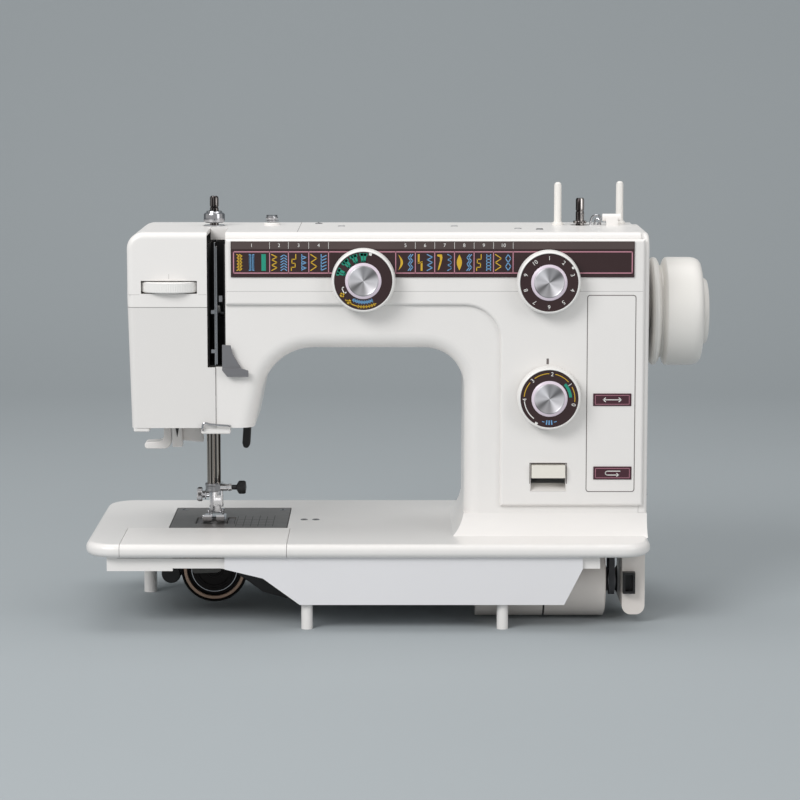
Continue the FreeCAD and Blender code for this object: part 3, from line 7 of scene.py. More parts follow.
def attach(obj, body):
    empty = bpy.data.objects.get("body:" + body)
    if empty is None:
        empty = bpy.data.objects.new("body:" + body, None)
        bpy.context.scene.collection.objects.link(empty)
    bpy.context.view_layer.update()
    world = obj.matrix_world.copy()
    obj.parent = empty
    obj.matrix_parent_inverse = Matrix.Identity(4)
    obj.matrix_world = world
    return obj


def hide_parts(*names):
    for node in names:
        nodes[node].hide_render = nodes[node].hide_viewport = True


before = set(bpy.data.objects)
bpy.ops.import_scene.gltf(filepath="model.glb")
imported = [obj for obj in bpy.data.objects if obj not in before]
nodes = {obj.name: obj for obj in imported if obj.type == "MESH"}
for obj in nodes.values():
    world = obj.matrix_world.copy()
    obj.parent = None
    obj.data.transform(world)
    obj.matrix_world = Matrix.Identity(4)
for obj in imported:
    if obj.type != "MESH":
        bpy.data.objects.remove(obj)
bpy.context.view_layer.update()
mm = 0.001
print("frame loaded:", len(nodes), "nodes")


def tone(red, green, blue):
    shares = [part / 255 for part in (red, green, blue)]
    linear = [((v + 0.055) / 1.055) ** 2.4 if v > 0.04 else v / 12.92 for v in shares]
    return (*linear, 1.0)


# shader maths: a Wire is a socket, and an expression on wires adds the nodes
class Wire:
    def __init__(self, finish, socket):
        self.finish = finish
        self.socket = socket

    def maths(self, operation, first, second=0.0):
        return self.finish.make("ShaderNodeMath", {"operation": operation}, {0: first, 1: second})

    def __add__(self, other):
        return self.maths("ADD", self, other)

    def __radd__(self, other):
        return self.maths("ADD", other, self)

    def __sub__(self, other):
        return self.maths("SUBTRACT", self, other)

    def __rsub__(self, other):
        return self.maths("SUBTRACT", other, self)

    def __mul__(self, other):
        return self.maths("MULTIPLY", self, other)

    def __rmul__(self, other):
        return self.maths("MULTIPLY", other, self)

    def __pow__(self, other):
        return self.maths("POWER", self, other)

    def __lt__(self, other):
        return self.maths("LESS_THAN", self, other)

    def __gt__(self, other):
        return self.maths("GREATER_THAN", self, other)


class Finish:
    def __init__(self, name, constants):
        self.material = bpy.data.materials.new(name)
        self.material.use_nodes = True
        self.tree = self.material.node_tree
        self.shader = self.tree.nodes["Principled BSDF"]
        for socket, value in constants.items():
            self.shader.inputs[socket].default_value = value
        self.place = self.make("ShaderNodeTexCoord", {}, {}, "Object")

    def make(self, kind, settings, inputs, output=0):
        node = self.tree.nodes.new(kind)
        for key, value in settings.items():
            if key == "stops":
                ramp = node.color_ramp.elements
                while len(ramp) < len(value):
                    ramp.new(0.5)
                for stop, (position, colour) in zip(ramp, value):
                    stop.position = position
                    stop.color = colour
            else:
                setattr(node, key, value)
        for key, value in inputs.items():
            self.feed(node.inputs[key], value)
        return Wire(self, node.outputs[output])

    def feed(self, socket, value):
        if isinstance(value, Wire):
            self.tree.links.new(value.socket, socket)
        else:
            socket.default_value = value

    def noise(self, scale, detail=3.0, stretch=(1, 1, 1), rough=0.55):
        moved = self.make("ShaderNodeMapping", {}, {"Vector": self.place, "Scale": stretch})
        inputs = {"Vector": moved, "Scale": scale, "Detail": detail, "Roughness": rough}
        return self.make("ShaderNodeTexNoise", {}, inputs, "Fac")

    def axes(self):
        split = self.tree.nodes.new("ShaderNodeSeparateXYZ")
        self.feed(split.inputs[0], self.place)
        return [Wire(self, socket) for socket in split.outputs]

    def mix(self, factor, first, second):
        return self.make("ShaderNodeMix", {"data_type": "RGBA"}, {0: factor, 6: first, 7: second}, 2)

    def bump(self, height, strength, distance):
        inputs = {"Height": height, "Strength": strength, "Distance": distance}
        normal = self.make("ShaderNodeBump", {}, inputs)
        self.feed(self.shader.inputs["Normal"], normal)

    def set(self, socket, value):
        self.feed(self.shader.inputs[socket], value)


def darker(colour, share):
    return (*[part * share for part in colour[:3]], 1.0)


# gloss paint: a slow drift of tint, faint handling marks and orange peel
def enamel(name, colour, rough=0.26, coat=0.25):
    finish = Finish(name, {"Coat Weight": coat, "Coat Roughness": 0.08, "IOR": 1.5})
    drift = finish.noise(9.0, 2.0)
    marks = finish.noise(70.0, 5.0, (1, 1, 0.4))
    stops = [(0.62, (0, 0, 0, 1)), (0.82, (1, 1, 1, 1))]
    grime = finish.make("ShaderNodeValToRGB", {"stops": stops}, {"Fac": marks})
    finish.set("Base Color", finish.mix(drift * 0.5 + grime * 0.10, colour, darker(colour, 0.955)))
    finish.set("Roughness", rough + 0.10 * marks)
    finish.bump(finish.noise(650.0, 2.0), 0.10, 0.00012)
    return finish.material


# moulded plastic: fine spark-eroded grain and slightly cloudy gloss
def moulded(name, colour, rough=0.38, grain=0.22, fall=0.955):
    finish = Finish(name, {"IOR": 1.47, "Specular IOR Level": 0.45})
    cloud = finish.noise(14.0, 3.0)
    rubbed = finish.noise(120.0, 4.0, (1, 1, 0.5))
    finish.set("Base Color", finish.mix(cloud, colour, darker(colour, fall)))
    finish.set("Roughness", rough + 0.14 * (rubbed - 0.5))
    finish.bump(finish.noise(2600.0, 2.0), grain, 0.00008)
    return finish.material


def plated(name, colour, rough=0.10):
    finish = Finish(name, {"Metallic": 1.0})
    smear = finish.noise(160.0, 4.0)
    finish.set("Base Color", finish.mix(finish.noise(40.0), colour, darker(colour, 0.86)))
    finish.set("Roughness", rough + 0.16 * smear * smear)
    finish.bump(finish.noise(900.0, 2.0), 0.06, 0.00006)
    return finish.material


# polished bar: painted reflections, light and dark bands along its length
def streaked(name, light, dark, shares=(0.44, 0.62)):
    finish = Finish(name, {"Metallic": 1.0})
    # painted reflection: noise stretched along the bar is split into dark and light bands
    reflectionBands = finish.noise(620.0, 1.5, (1, 1, 0.004))
    stops = [(shares[0], dark), (shares[1], light)]
    split = finish.make("ShaderNodeValToRGB", {"stops": stops}, {"Fac": reflectionBands}, "Color")
    finish.set("Base Color", split)
    finish.set("Roughness", 0.12 + 0.12 * finish.noise(260.0, 4.0))
    return finish.material


# ground or drawn metal: long scratches along one axis
def brushed(name, colour, rough=0.34, stretch=(0.04, 1, 1)):
    finish = Finish(name, {"Metallic": 1.0})
    lines = finish.noise(2400.0, 4.0, stretch)
    stain = finish.noise(45.0, 4.0)
    mask = lines * 0.6 + stain * 0.4
    finish.set("Base Color", finish.mix(mask, darker(colour, 1.06), darker(colour, 0.72)))
    finish.set("Roughness", rough + 0.22 * (lines - 0.5) + 0.10 * stain)
    finish.bump(lines, 0.22, 0.00006)
    return finish.material


# turned face: rings about one centre on the XZ plane, with painted reflection wedges about the same centre in
# the colour
def spunMetal(name, colour, centre):
    finish = Finish(name, {"Metallic": 0.45})
    x, y, z = finish.axes()
    across, up = x - centre[0] * mm, z - centre[1] * mm
    radius = (across * across + up * up) ** 0.5
    rings = finish.make("ShaderNodeMath", {"operation": "SINE"}, {0: radius * 16000.0})
    slow = finish.make("ShaderNodeMath", {"operation": "SINE"}, {0: radius * 5300.0})
    angle = finish.make("ShaderNodeMath", {"operation": "ARCTAN2"}, {0: up, 1: across})
    # painted reflection: bright and dark wedges around the centre, as a spun face shows them
    reflectionFan = finish.make("ShaderNodeMath", {"operation": "COSINE"}, {0: angle * 2.0 + 1.3})
    reflectionRipple = finish.make("ShaderNodeMath", {"operation": "COSINE"}, {0: angle * 6.0 - 0.6})
    reflectionWedge = (reflectionFan * 0.5 + 0.5) ** 1.2
    finish.set("Base Color", finish.mix(reflectionWedge * 0.7 + (reflectionRipple * 0.5 + 0.5) * 0.3, darker(colour, 0.15), colour))
    finish.set("Roughness", 0.36 + 0.04 * slow)
    finish.bump(rings + slow, 0.03, 0.00002)
    return finish.material


# two-part cover: below the joint height the colour is a little greyer as painted shade of the tilted lower
# part, with a dark line at the joint that is both the joint and a painted shadow under the step
def splitCover(name, colour, joint):
    finish = Finish(name, {"IOR": 1.47, "Specular IOR Level": 0.45})
    x, y, z = finish.axes()
    low = z < joint * mm
    near = finish.make("ShaderNodeMath", {"operation": "ABSOLUTE"}, {0: z - joint * mm}) < 0.00022
    cloud = finish.mix(finish.noise(14.0, 3.0), colour, darker(colour, 0.955))
    # painted shade on the lower part, then the joint line with its painted shadow
    body = finish.mix(low * 0.6, cloud, darker(colour, 0.84))
    finish.set("Base Color", finish.mix(near * 0.8, body, tone(96, 92, 90)))
    finish.set("Roughness", 0.34 + 0.14 * (finish.noise(120.0, 4.0, (1, 1, 0.5)) - 0.5))
    finish.bump(finish.noise(2600.0, 2.0), 0.12, 0.00008)
    return finish.material


def ink(name, colour):
    finish = Finish(name, {"IOR": 1.45})
    finish.set("Base Color", finish.mix(finish.noise(900.0, 3.0), colour, darker(colour, 0.84)))
    finish.set("Roughness", 0.42 + 0.12 * finish.noise(300.0))
    return finish.material


def rubber(name, colour):
    finish = Finish(name, {"IOR": 1.5, "Specular IOR Level": 0.3})
    dust = finish.noise(220.0, 5.0)
    finish.set("Base Color", finish.mix(dust, colour, (0.16, 0.16, 0.17, 1)))
    finish.set("Roughness", 0.66 + 0.2 * dust)
    finish.bump(finish.noise(1500.0, 3.0), 0.4, 0.0001)
    return finish.material


paints = {
    "case": tone(235, 232, 229), "cover": tone(236, 233, 230), "tray": tone(228, 227, 229),
    "brown": tone(56, 37, 38), "header": tone(84, 71, 69), "pink": tone(200, 140, 155),
    "yellow": tone(218, 176, 48), "blue": tone(116, 168, 212), "green": tone(34, 152, 126),
    "motor": tone(226, 219, 213),
}
look = {
    "enamel": enamel("whiteEnamel", paints["case"]),
    "cover": moulded("whiteCover", paints["cover"], 0.34, 0.12),
    "face": splitCover("faceCover", paints["cover"], 208.6),
    "tray": moulded("trayPlastic", paints["tray"], 0.44, 0.25),
    "wheel": moulded("wheelPlastic", tone(232, 229, 224), 0.36, 0.14),
    "dial": moulded("dialPlastic", tone(238, 236, 233), 0.30, 0.06),
    "brown": moulded("printedBrown", paints["brown"], 0.36, 0.10, 0.80),
    "header": moulded("printedHeader", paints["header"], 0.38, 0.10, 0.88),
    "cream": moulded("leverCream", tone(234, 229, 219), 0.34, 0.10),
    "black": moulded("blackPlastic", tone(30, 29, 30), 0.42, 0.25, 0.75),
    # near-black painted shade for slots, holes and vents, where the openings lie in shadow
    "cavityShade": moulded("recessShade", tone(17, 16, 17), 0.62, 0.3, 0.7),
    "plate": brushed("groundPlate", tone(154, 151, 149), 0.46, (0.04, 1, 1)),
    "chrome": plated("chromePlate", tone(186, 186, 189)),
    "bar": streaked("barPlate", tone(184, 176, 168), tone(38, 34, 31), (0.45, 0.64)),
    "pin": streaked("pinPlate", tone(196, 190, 187), tone(44, 40, 40), (0.46, 0.62)),
    # a brighter copy of the chrome: painted highlight for the presser foot, its screw, shank and the clamp
    # sleeve
    "bright": plated("highlightChrome", tone(236, 236, 238), 0.08),
    "steel": brushed("turnedSteel", tone(160, 160, 162), 0.30, (1, 1, 0.05)),
    "motor": enamel("motorEnamel", paints["motor"], 0.36, 0.1),
    "belt": rubber("beltRubber", tone(84, 88, 92)),
    "bronze": brushed("bushBronze", tone(186, 142, 92), 0.38),
    "alloy": brushed("pulleyAlloy", tone(190, 190, 192), 0.36, (1, 0.05, 1)),
    "nylon": moulded("camNylon", tone(224, 216, 198), 0.48, 0.2),
    "pink": ink("pinkInk", paints["pink"]),
    "yellow": ink("yellowInk", paints["yellow"]),
    "blue": ink("blueInk", paints["blue"]),
    "green": ink("greenInk", paints["green"]),
    "white": ink("whiteInk", tone(238, 236, 232)),
    "dark": ink("darkInk", tone(42, 36, 36)),
    "seam": ink("seamShade", tone(196, 193, 191)),
    "line": ink("panelLine", tone(112, 104, 102)),
    "maroon": moulded("labelMaroon", tone(74, 40, 50), 0.34, 0.10, 0.82),
    "lilac": moulded("capLilac", tone(226, 212, 224), 0.24, 0.04),
    "guide": enamel("guideGrey", tone(112, 112, 115), 0.36, 0.1),
    # tan colour of the steel race ring: painted reflection
    "race": brushed("raceReflectionTan", tone(176, 150, 132), 0.34),
    "latch": brushed("latchSteel", tone(92, 90, 88), 0.30),
    "darkSteel": brushed("blackedSteel", tone(40, 38, 38), 0.36, (1, 0.05, 1)),
}
print("finishes made:", len(look))

cadLooks = {
    "enamel": "bed arm_casting hinge_socket_left hinge_socket_right legs",
    "face": "face_cover",
    "cover": "front_panel top_cover end_cover shuttle_cover winder_stop",
    "tray": "under_tray",
    "brown": "stitch_chart",
    "cream": "reverse_lever",
    "plate": "needle_plate feed_bar",
    "bar": "needle_bar presser_bar",
    "chrome": "needle pressure_bush bobbin_case bobbin tension_plate",
    "black": "power_inlet",
    "motor": "motor_housing motor_end_cap terminal_box",
    "belt": "drive_belt",
    "darkSteel": "hook_race shuttle",
    "steel": "main_shaft crank_disc take_up_lever needle_bar_frame rock_shaft connecting_rod hook_shaft"
             " motor_rotor winder_arm",
    "bronze": "shaft_bushes",
    "alloy": "shaft_pulley",
    "nylon": "cam_stack",
}
for key, names in cadLooks.items():
    for name in names.split():
        for slotOfNode in nodes[name].material_slots:
            slotOfNode.material = look[key]


# bmesh helpers, in millimetres of the machine's frame
def addTurned(bm, profile, axis, centre, steps=72, closed=False):
    along = Vector(axis)
    out = Vector((1, 0, 0)) if abs(along.z) > 0.5 else Vector((0, 0, 1))
    base = Vector(centre)
    verts = [bm.verts.new((base + along * height + out * radius) * mm) for radius, height in profile]
    pairs = list(zip(verts, verts[1:])) + ([(verts[-1], verts[0])] if closed else [])
    edges = [bm.edges.new(pair) for pair in pairs]
    bmesh.ops.spin(bm, geom=verts + edges, cent=base * mm, axis=along, angle=2 * pi,
                   steps=steps, use_merge=True)
    return bm


def addBlock(bm, low, high):
    size, middle = Vector(high) - Vector(low), (Vector(high) + Vector(low)) / 2
    matrix = Matrix.Translation(middle * mm) @ Matrix.Diagonal((*(size * mm), 1))
    bmesh.ops.create_cube(bm, size=1, matrix=matrix)
    return bm


def addBlocks(bm, boxes):
    for low, high in boxes:
        addBlock(bm, low, high)
    return bm


def addStroke(bm, start, end, y, width, rise=0.08):
    first, last = Vector((start[0], y, start[1])), Vector((end[0], y, end[1]))
    run = last - first
    turn = Matrix.Rotation(-atan2(run.z, run.x), 4, "Y")
    size = Matrix.Diagonal(((run.length + width * 0.7) * mm, rise * mm, width * mm, 1))
    middle = (first + last) / 2 - Vector((0, rise / 2, 0))
    bmesh.ops.create_cube(bm, size=1, matrix=Matrix.Translation(middle * mm) @ turn @ size)
    return bm


def addLine(bm, points, y, width, rise=0.08):
    for start, end in zip(points, points[1:]):
        addStroke(bm, start, end, y, width, rise)
    return bm


# outline of a rectangle with rounded corners, anticlockwise from its right side
def rounded(low, high, corner, turns):
    points = []
    for cx, cz, begin in ((high[0] - corner, high[1] - corner, 0), (low[0] + corner, high[1] - corner, 90),
                          (low[0] + corner, low[1] + corner, 180), (high[0] - corner, low[1] + corner, 270)):
        angles = [radians(begin + turn) for turn in turns]
        points += [(cx + corner * cos(angle), cz + corner * sin(angle)) for angle in angles]
    return points


def addFrame(bm, low, high, y, width, corner=0.0, rise=0.08):
    points = rounded(low, high, corner, (0, 30, 60, 90) if corner else (0,))
    return addLine(bm, points + points[:1], y, width, rise)


def spot(centre, radius, angle):
    return centre[0] + radius * cos(radians(angle)), centre[1] + radius * sin(radians(angle))


def addArc(bm, centre, radii, start, end, y, rise=0.08):
    ends = [spot(centre, radius, start) for radius in radii]
    verts = [bm.verts.new(Vector((x, y - rise, z)) * mm) for x, z in ends]
    edge = bm.edges.new(verts)
    steps = max(2, int(abs(end - start) / 5))
    middle = Vector((centre[0], y, centre[1])) * mm
    bmesh.ops.spin(bm, geom=verts + [edge], cent=middle, axis=(0, -1, 0),
                   angle=radians(end - start), steps=steps)
    return bm


def addPrism(bm, outline, axis, low, high):
    place = {"x": lambda u, v: (low, u, v), "y": lambda u, v: (u, low, v), "z": lambda u, v: (u, v, low)}
    step = {"x": (1, 0, 0), "y": (0, 1, 0), "z": (0, 0, 1)}[axis]
    face = bm.faces.new([bm.verts.new(Vector(place[axis](u, v)) * mm) for u, v in outline])
    grown = bmesh.ops.extrude_face_region(bm, geom=[face])["geom"]
    moved = [item for item in grown if isinstance(item, bmesh.types.BMVert)]
    bmesh.ops.translate(bm, vec=Vector(step) * (high - low) * mm, verts=moved)
    return bm


def addTube(bm, points, radius, order=3):
    curve = bpy.data.curves.new("wirePath", "CURVE")
    curve.dimensions = "3D"
    curve.bevel_depth = radius * mm
    curve.bevel_resolution = 3
    curve.use_fill_caps = True
    spline = curve.splines.new("NURBS")
    spline.points.add(len(points) - 1)
    for knot, point in zip(spline.points, points):
        knot.co = (*(Vector(point) * mm), 1)
    spline.use_endpoint_u = True
    spline.order_u = order
    spline.resolution_u = 8
    return addCurve(bm, curve, Matrix())


def addFigure(bm, text, size, middle, y, turn=0.0, rise=0.08):
    curve = bpy.data.curves.new("figure", "FONT")
    curve.body = text
    curve.size = size * mm
    curve.align_x = "CENTER"
    curve.align_y = "CENTER"
    curve.extrude = rise * mm / 2
    place = Matrix.Translation(Vector((middle[0], y - rise / 2, middle[1])) * mm)
    tilt = Matrix.Rotation(radians(turn), 4, "Y") @ Matrix.Rotation(pi / 2, 4, "X")
    return addCurve(bm, curve, place @ tilt)


def addCurve(bm, curve, place):
    holder = bpy.data.objects.new("holder", curve)
    bpy.context.collection.objects.link(holder)
    mesh = bpy.data.meshes.new_from_object(holder)
    mesh.transform(place)
    bm.from_mesh(mesh)
    bpy.data.objects.remove(holder)
    bpy.data.meshes.remove(mesh)
    bpy.data.curves.remove(curve)
    return bm


# the part's slot for pieces of one look, white plastic for the others
lookSlots = {
    "black": "black_plastic", "cavityShade": "black_plastic",
    "chrome": "chrome", "bright": "chrome", "steel": "chrome",
    "header": "chart_brown", "pink": "chart_brown", "maroon": "chart_brown", "motor": "motor_cream",
}


def finishPiece(bm, name, finish, body="frame", slot="", stands=(), edge=0.0, flat=False, segments=2):
    bmesh.ops.remove_doubles(bm, verts=bm.verts, dist=2e-6)
    bmesh.ops.dissolve_degenerate(bm, edges=bm.edges, dist=1e-6)
    bmesh.ops.recalc_face_normals(bm, faces=bm.faces)
    mesh = bpy.data.meshes.new(name)
    bm.to_mesh(mesh)
    bm.free()
    mesh.materials.append(look[finish] if isinstance(finish, str) else finish)
    mesh.polygons.foreach_set("use_smooth", [not flat] * len(mesh.polygons))
    piece = bpy.data.objects.new(name, mesh)
    bpy.context.collection.objects.link(piece)
    if edge:
        rounding = piece.modifiers.new("edge", "BEVEL")
        rounding.width = edge * mm
        rounding.segments = segments
        rounding.limit_method = "ANGLE"
        rounding.angle_limit = radians(32)
        rounding.harden_normals = True
    elif not flat:
        mesh.set_sharp_from_angle(angle=radians(32))
    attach(piece, body)
    slot = slot or lookSlots.get(finish, "white_plastic")
    if stands:
        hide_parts(*stands)
    return piece


# dials: white body, sunk dark face, spun cap, thin ring, printed marks
dialSize = {"height": 9.5, "rim": 2.0, "dish": 0.8, "cap": 10.1, "ring": 11.8, "stem": 4.0, "stemLength": 20}
dials = {
    "width": {"centre": (-24.5, 227.1), "radius": 21.0, "seat": -53.2, "body": "width_control"},
    "selector": {"centre": (96.6, 226.0), "radius": 21.0, "seat": -53.2, "body": "selector_control"},
    "length": {"centre": (97.3, 149.6), "radius": 21.0, "seat": -52.4, "body": "length_control"},
}


def makeDial(kind, dial):
    size, radius, body = dialSize, dial["radius"], dial["body"]
    base = (dial["centre"][0], dial["seat"], dial["centre"][1])
    front, sunk = size["height"], size["height"] - size["dish"]
    inner = radius - size["rim"]
    out = (0, -1, 0)
    bm = addTurned(bmesh.new(), [
        (0, -size["stemLength"]), (size["stem"], -size["stemLength"]), (size["stem"], 0), (radius - 1.2, 0),
        (radius, 1.0), (radius, 2.6), (radius - 0.35, 3.0), (radius - 0.35, 3.4), (radius, 3.8),
        (radius - 0.5, front - 1.4), (radius - 0.9, front - 0.5), (radius - 1.7, front), (inner + 0.3, front),
        (inner, front - 0.3), (inner, sunk - 0.4), (0, sunk - 0.4)], out, base, 96)
    finishPiece(bm, kind + "DialBody", "dial", body, "dial_white", [kind + "_dial"], 0.25)
    cap, ring = size["cap"], size["ring"]
    bm = addTurned(bmesh.new(), [
        (cap - 0.5, sunk - 0.3), (inner - 0.15, sunk - 0.3), (inner - 0.15, sunk), (cap - 0.5, sunk)],
        out, base, 96, True)
    finishPiece(bm, kind + "DialFace", "brown", body, "chart_brown")
    bm = addTurned(bmesh.new(), [
        (0, sunk - 0.3), (cap, sunk - 0.3), (cap, front + 0.3), (cap - 0.35, front + 0.75),
        (cap - 0.9, front + 0.9), (cap - 1.3, front + 0.7), (2.2, front + 0.45), (0, front + 0.4)],
        out, base, 128)
    spun = spunMetal(kind + "SpunCap", tone(246, 243, 247), dial["centre"])
    finishPiece(bm, kind + "DialCap", spun, body, "plate_steel")
    bm = addTurned(bmesh.new(), [
        (cap - 0.1, sunk - 0.2), (ring, sunk - 0.2), (ring, sunk + 0.25), (ring - 0.3, sunk + 0.45),
        (cap + 0.25, front + 0.35), (cap - 0.1, front + 0.4)], out, base, 96, True)
    finishPiece(bm, kind + "DialRing", "lilac", body, "dial_white")
    return dial["seat"] - sunk


faceY = {kind: makeDial(kind, dial) for kind, dial in dials.items()}


# printed arcs as ((inner, outer), start, end) in degrees, figures and dots as (radius, angle)
def printDial(kind, colour, rows=(), figures=(), dots=()):
    centre, y, bm = dials[kind]["centre"], faceY[kind], bmesh.new()
    for radii, start, end in rows:
        addArc(bm, centre, radii, start, end, y)
    bmesh.ops.recalc_face_normals(bm, faces=bm.faces)
    bmesh.ops.solidify(bm, geom=bm.faces[:], thickness=0.08 * mm)
    for number, radius, angle in figures:
        addFigure(bm, str(number), 3.8, spot(centre, radius, angle), y, 90 - angle)
    for radius, angle in dots:
        x, z = spot(centre, radius, angle)
        addTurned(bm, [(0, 0), (0.9, 0), (0.9, 0.1), (0, 0.1)], (0, -1, 0), (x, y, z), 20)
    name = kind + ("Figures" if colour == "white" else colour.capitalize() + "Marks")
    finishPiece(bm, name, colour, dials[kind]["body"], "dial_white", flat=True)


printDial("width", "green", [((12.6, 18.0), a, a + 6) for a in (83, 90, 105, 127, 153)]
          + [((12.6, 18.0), a + 8, a + 12) for a in (105, 127, 153)]
          + [((16.4, 18.2), a - 2, a + 15) for a in (83, 105, 127, 153)]
          + [((12.4, 13.4), a, a + 12) for a in (83, 105, 127, 153)])
printDial("width", "blue", [((13.2, 14.6), 240, 296)]
          + [((12.6, 15.2), a, a + 2) for a in range(244, 300, 7)])
printDial("width", "yellow", [((16.6, 17.2), 226, 300)]
          + [((15.9, 17.9), a, a + 2) for a in range(258, 300, 6)]
          + [((15.0, 16.0), a, a + 11) for a in (208, 230)] + [((17.0, 18.0), a, a + 11) for a in (208, 230)]
          + [((15.0, 18.0), a, a + 3) for a in (208, 216, 230, 238)])
printDial("width", "white", [((17.2, 18.9), 72, 78), ((14.4, 15.0), 196, 215)]
          + [((13.2, 15.0), a, a + 3) for a in (196, 212)])
printDial("selector", "white", figures=[(n + 1, 15.9, 90 - 36 * n) for n in range(10)], dots=[(18.3, 32)])
printDial("length", "white", [((16.2, 16.8), 186, 232), ((17.6, 18.9), 239, 245)],
          [(n, 16.2, 49 * n - 14) for n in range(5)])
printDial("length", "yellow", [((16.4, 16.9), a + 7, a + 42) for a in (-14, 35, 84, 133)])
printDial("length", "green", [((12.9, 14.8), 4, 44)])
printDial("length", "blue", [((14.2, 17.2), a, a + 3) for a in (262, 268, 274)]
          + [((15.4, 15.9), 252, 258), ((15.4, 15.9), 281, 288)])
print("dials made")

# stitch chart: header strip, thin frame lines and one or two stitch signs per cell
chart = {
    "y": -52.8, "low": (-109.4, 231.5), "high": (151.2, 245.4), "header": (247.2, 251.9),
    "sign": (233.2, 243.7), "half": 2.1, "line": 0.58, "frame": 0.7,
    "cells": [(-109.4, -85.8), (-85.8, -73.5), (-73.5, -60.2), (-60.2, -47.3), (-3.4, 9.4),
              (9.4, 22.1), (22.1, 35.0), (35.0, 47.8), (47.8, 60.5), (60.5, 73.3)],
}


def zigzag(teeth, reach, shift=0.0):
    return [(shift + (reach if step % 2 else -reach), step / teeth) for step in range(teeth + 1)]


signs = {
    "twin": [zigzag(10, 0.45, -0.4), zigzag(10, 0.45, 0.4)],
    "dense": [zigzag(12, 0.75), zigzag(12, -0.75)],
    "bar": [[(u, 0), (u, 1)] for u in (-0.55, -0.28, 0, 0.28, 0.55)],
    "open": [zigzag(6, 0.85)],
    "wide": [zigzag(4, 0.95)],
    "chevrons": [[(-0.9, v), (0.1, v + 0.13), (0.9, v)] for v in (0, 0.17, 0.34, 0.51, 0.68, 0.85)],
    "steps": [[(-0.7, 0), (-0.7, 0.2), (0.5, 0.2), (0.5, 0.45), (-0.5, 0.45), (-0.5, 0.7), (0.7, 0.7),
               (0.7, 1)]],
    "hem": [[(-0.6, 0), (-0.6, 1)]]
           + [[(-0.6, v), (0.85, v + 0.1), (-0.6, v + 0.2)] for v in (0.05, 0.38, 0.71)],
    "comb": [[(-0.75, 0), (-0.75, 1)]] + [[(-0.75, v), (0.8, v + 0.14)] for v in (0, 0.2, 0.4, 0.6, 0.8)],
    "wave": [zigzag(5, 0.4, -0.3), zigzag(5, 0.4, 0.35)],
    "blocks": [[(u, 0.45), (u, 1)] for u in (-0.6, -0.3)] + [[(u, 0), (u, 0.55)] for u in (0.3, 0.6)]
              + [[(-0.6, 0.5), (0.6, 0.5)]],
    "diamonds": [[(0, v), (0.8, v + 0.25), (0, v + 0.5), (-0.8, v + 0.25), (0, v)] for v in (0, 0.5)],
    "ladder": [[(u, 0), (u, 1)] for u in (-0.6, 0.6)]
              + [[(-0.6, v), (0.6, v)] for v in (0.1, 0.3, 0.5, 0.7, 0.9)],
    "scallop": [[(-0.6 + 1.2 * sin(pi * k / 6), v + k / 18) for k in range(7)] for v in (0, 0.333, 0.666)],
}
# solid signs, each one outline
solidSigns = {
    "crescent": [(-0.75 + 1.5 * sin(pi * k / 10), k / 10) for k in range(11)]
                + [(-0.75 + 0.75 * sin(pi * k / 10), k / 10) for k in range(9, 0, -1)],
    "leaf": [(0.8 * sin(pi * k / 10), k / 10) for k in range(11)]
            + [(-0.8 * sin(pi * k / 10), k / 10) for k in range(9, 0, -1)],
    "sickle": [(-0.6, 0), (-0.1, 0.08), (0.5, 0.45), (0.85, 0.8), (0.7, 1.0), (-0.7, 1.0), (-0.8, 0.9),
               (0.1, 0.82), (0.1, 0.6), (-0.3, 0.3)],
}
cellSigns = [
    (("yellow", "twin"), ("blue", "dense"), ("green", "bar")), (("yellow", "open"), ("blue", "chevrons")),
    (("yellow", "steps"), ("blue", "hem")), (("yellow", "wide"), ("blue", "comb")),
    (("yellow", "crescent"), ("blue", "wave")), (("yellow", "blocks"), ("blue", "open")),
    (("yellow", "sickle"), ("blue", "scallop")), (("yellow", "leaf"), ("blue", "wave")),
    (("yellow", "steps"), ("blue", "ladder")), (("yellow", "wide"), ("blue", "diamonds")),
]


def makeChart():
    y, (bottom, top) = chart["y"], chart["sign"]
    low, high = chart["header"]
    strip = addBlock(bmesh.new(), (-110.7, y - 0.06, low), (152.2, y + 0.3, high))
    finishPiece(strip, "chartHeader", "header", flat=True)
    lines = addFrame(bmesh.new(), chart["low"], chart["high"], y, chart["frame"])
    marks = bmesh.new()
    signMesh = {colour: bmesh.new() for colour in ("yellow", "blue", "green")}
    for index, (left, right) in enumerate(chart["cells"]):
        addStroke(lines, (right, chart["low"][1]), (right, chart["high"][1]), y, chart["frame"] * 0.8)
        addStroke(marks, (right, low + 0.3), (right, high - 0.3), y - 0.06, 0.25)
        addFigure(marks, str(index + 1), 3.3, ((left + right) / 2, (low + high) / 2), y - 0.06)
        row = cellSigns[index]
        for place, (colour, sign) in enumerate(row):
            middle = left + (right - left) * (place + 0.5) / len(row)
            solid = sign in solidSigns
            for points in [solidSigns[sign]] if solid else signs[sign]:
                path = [(middle + u * chart["half"], bottom + v * (top - bottom)) for u, v in points]
                if solid:
                    addPrism(signMesh[colour], path, "y", y - 0.08, y)
                else:
                    addLine(signMesh[colour], path, y, chart["line"])
    addStroke(lines, (-3.4, chart["low"][1]), (-3.4, chart["high"][1]), y, chart["frame"] * 0.8)
    finishPiece(lines, "chartLines", "pink", flat=True)
    finishPiece(marks, "chartFigures", "white", slot="chart_brown", flat=True)
    for colour, bm in signMesh.items():
        finishPiece(bm, colour + "Signs", colour, slot="chart_brown", flat=True)


makeChart()

# lines, marks and label plates on the front panel and the face cover
panel = {
    "y": -52.0, "faceY": -50.0, "outline": ((122.3, 86.6), (154.0, 216.8)),
    "index": ((96.4, 171.9), (96.4, 174.6)),
    "plates": [((126.5, 143.7), (151.6, 152.0)), ((127.0, 94.7), (152.2, 103.4))], "plateRise": 0.6,
}


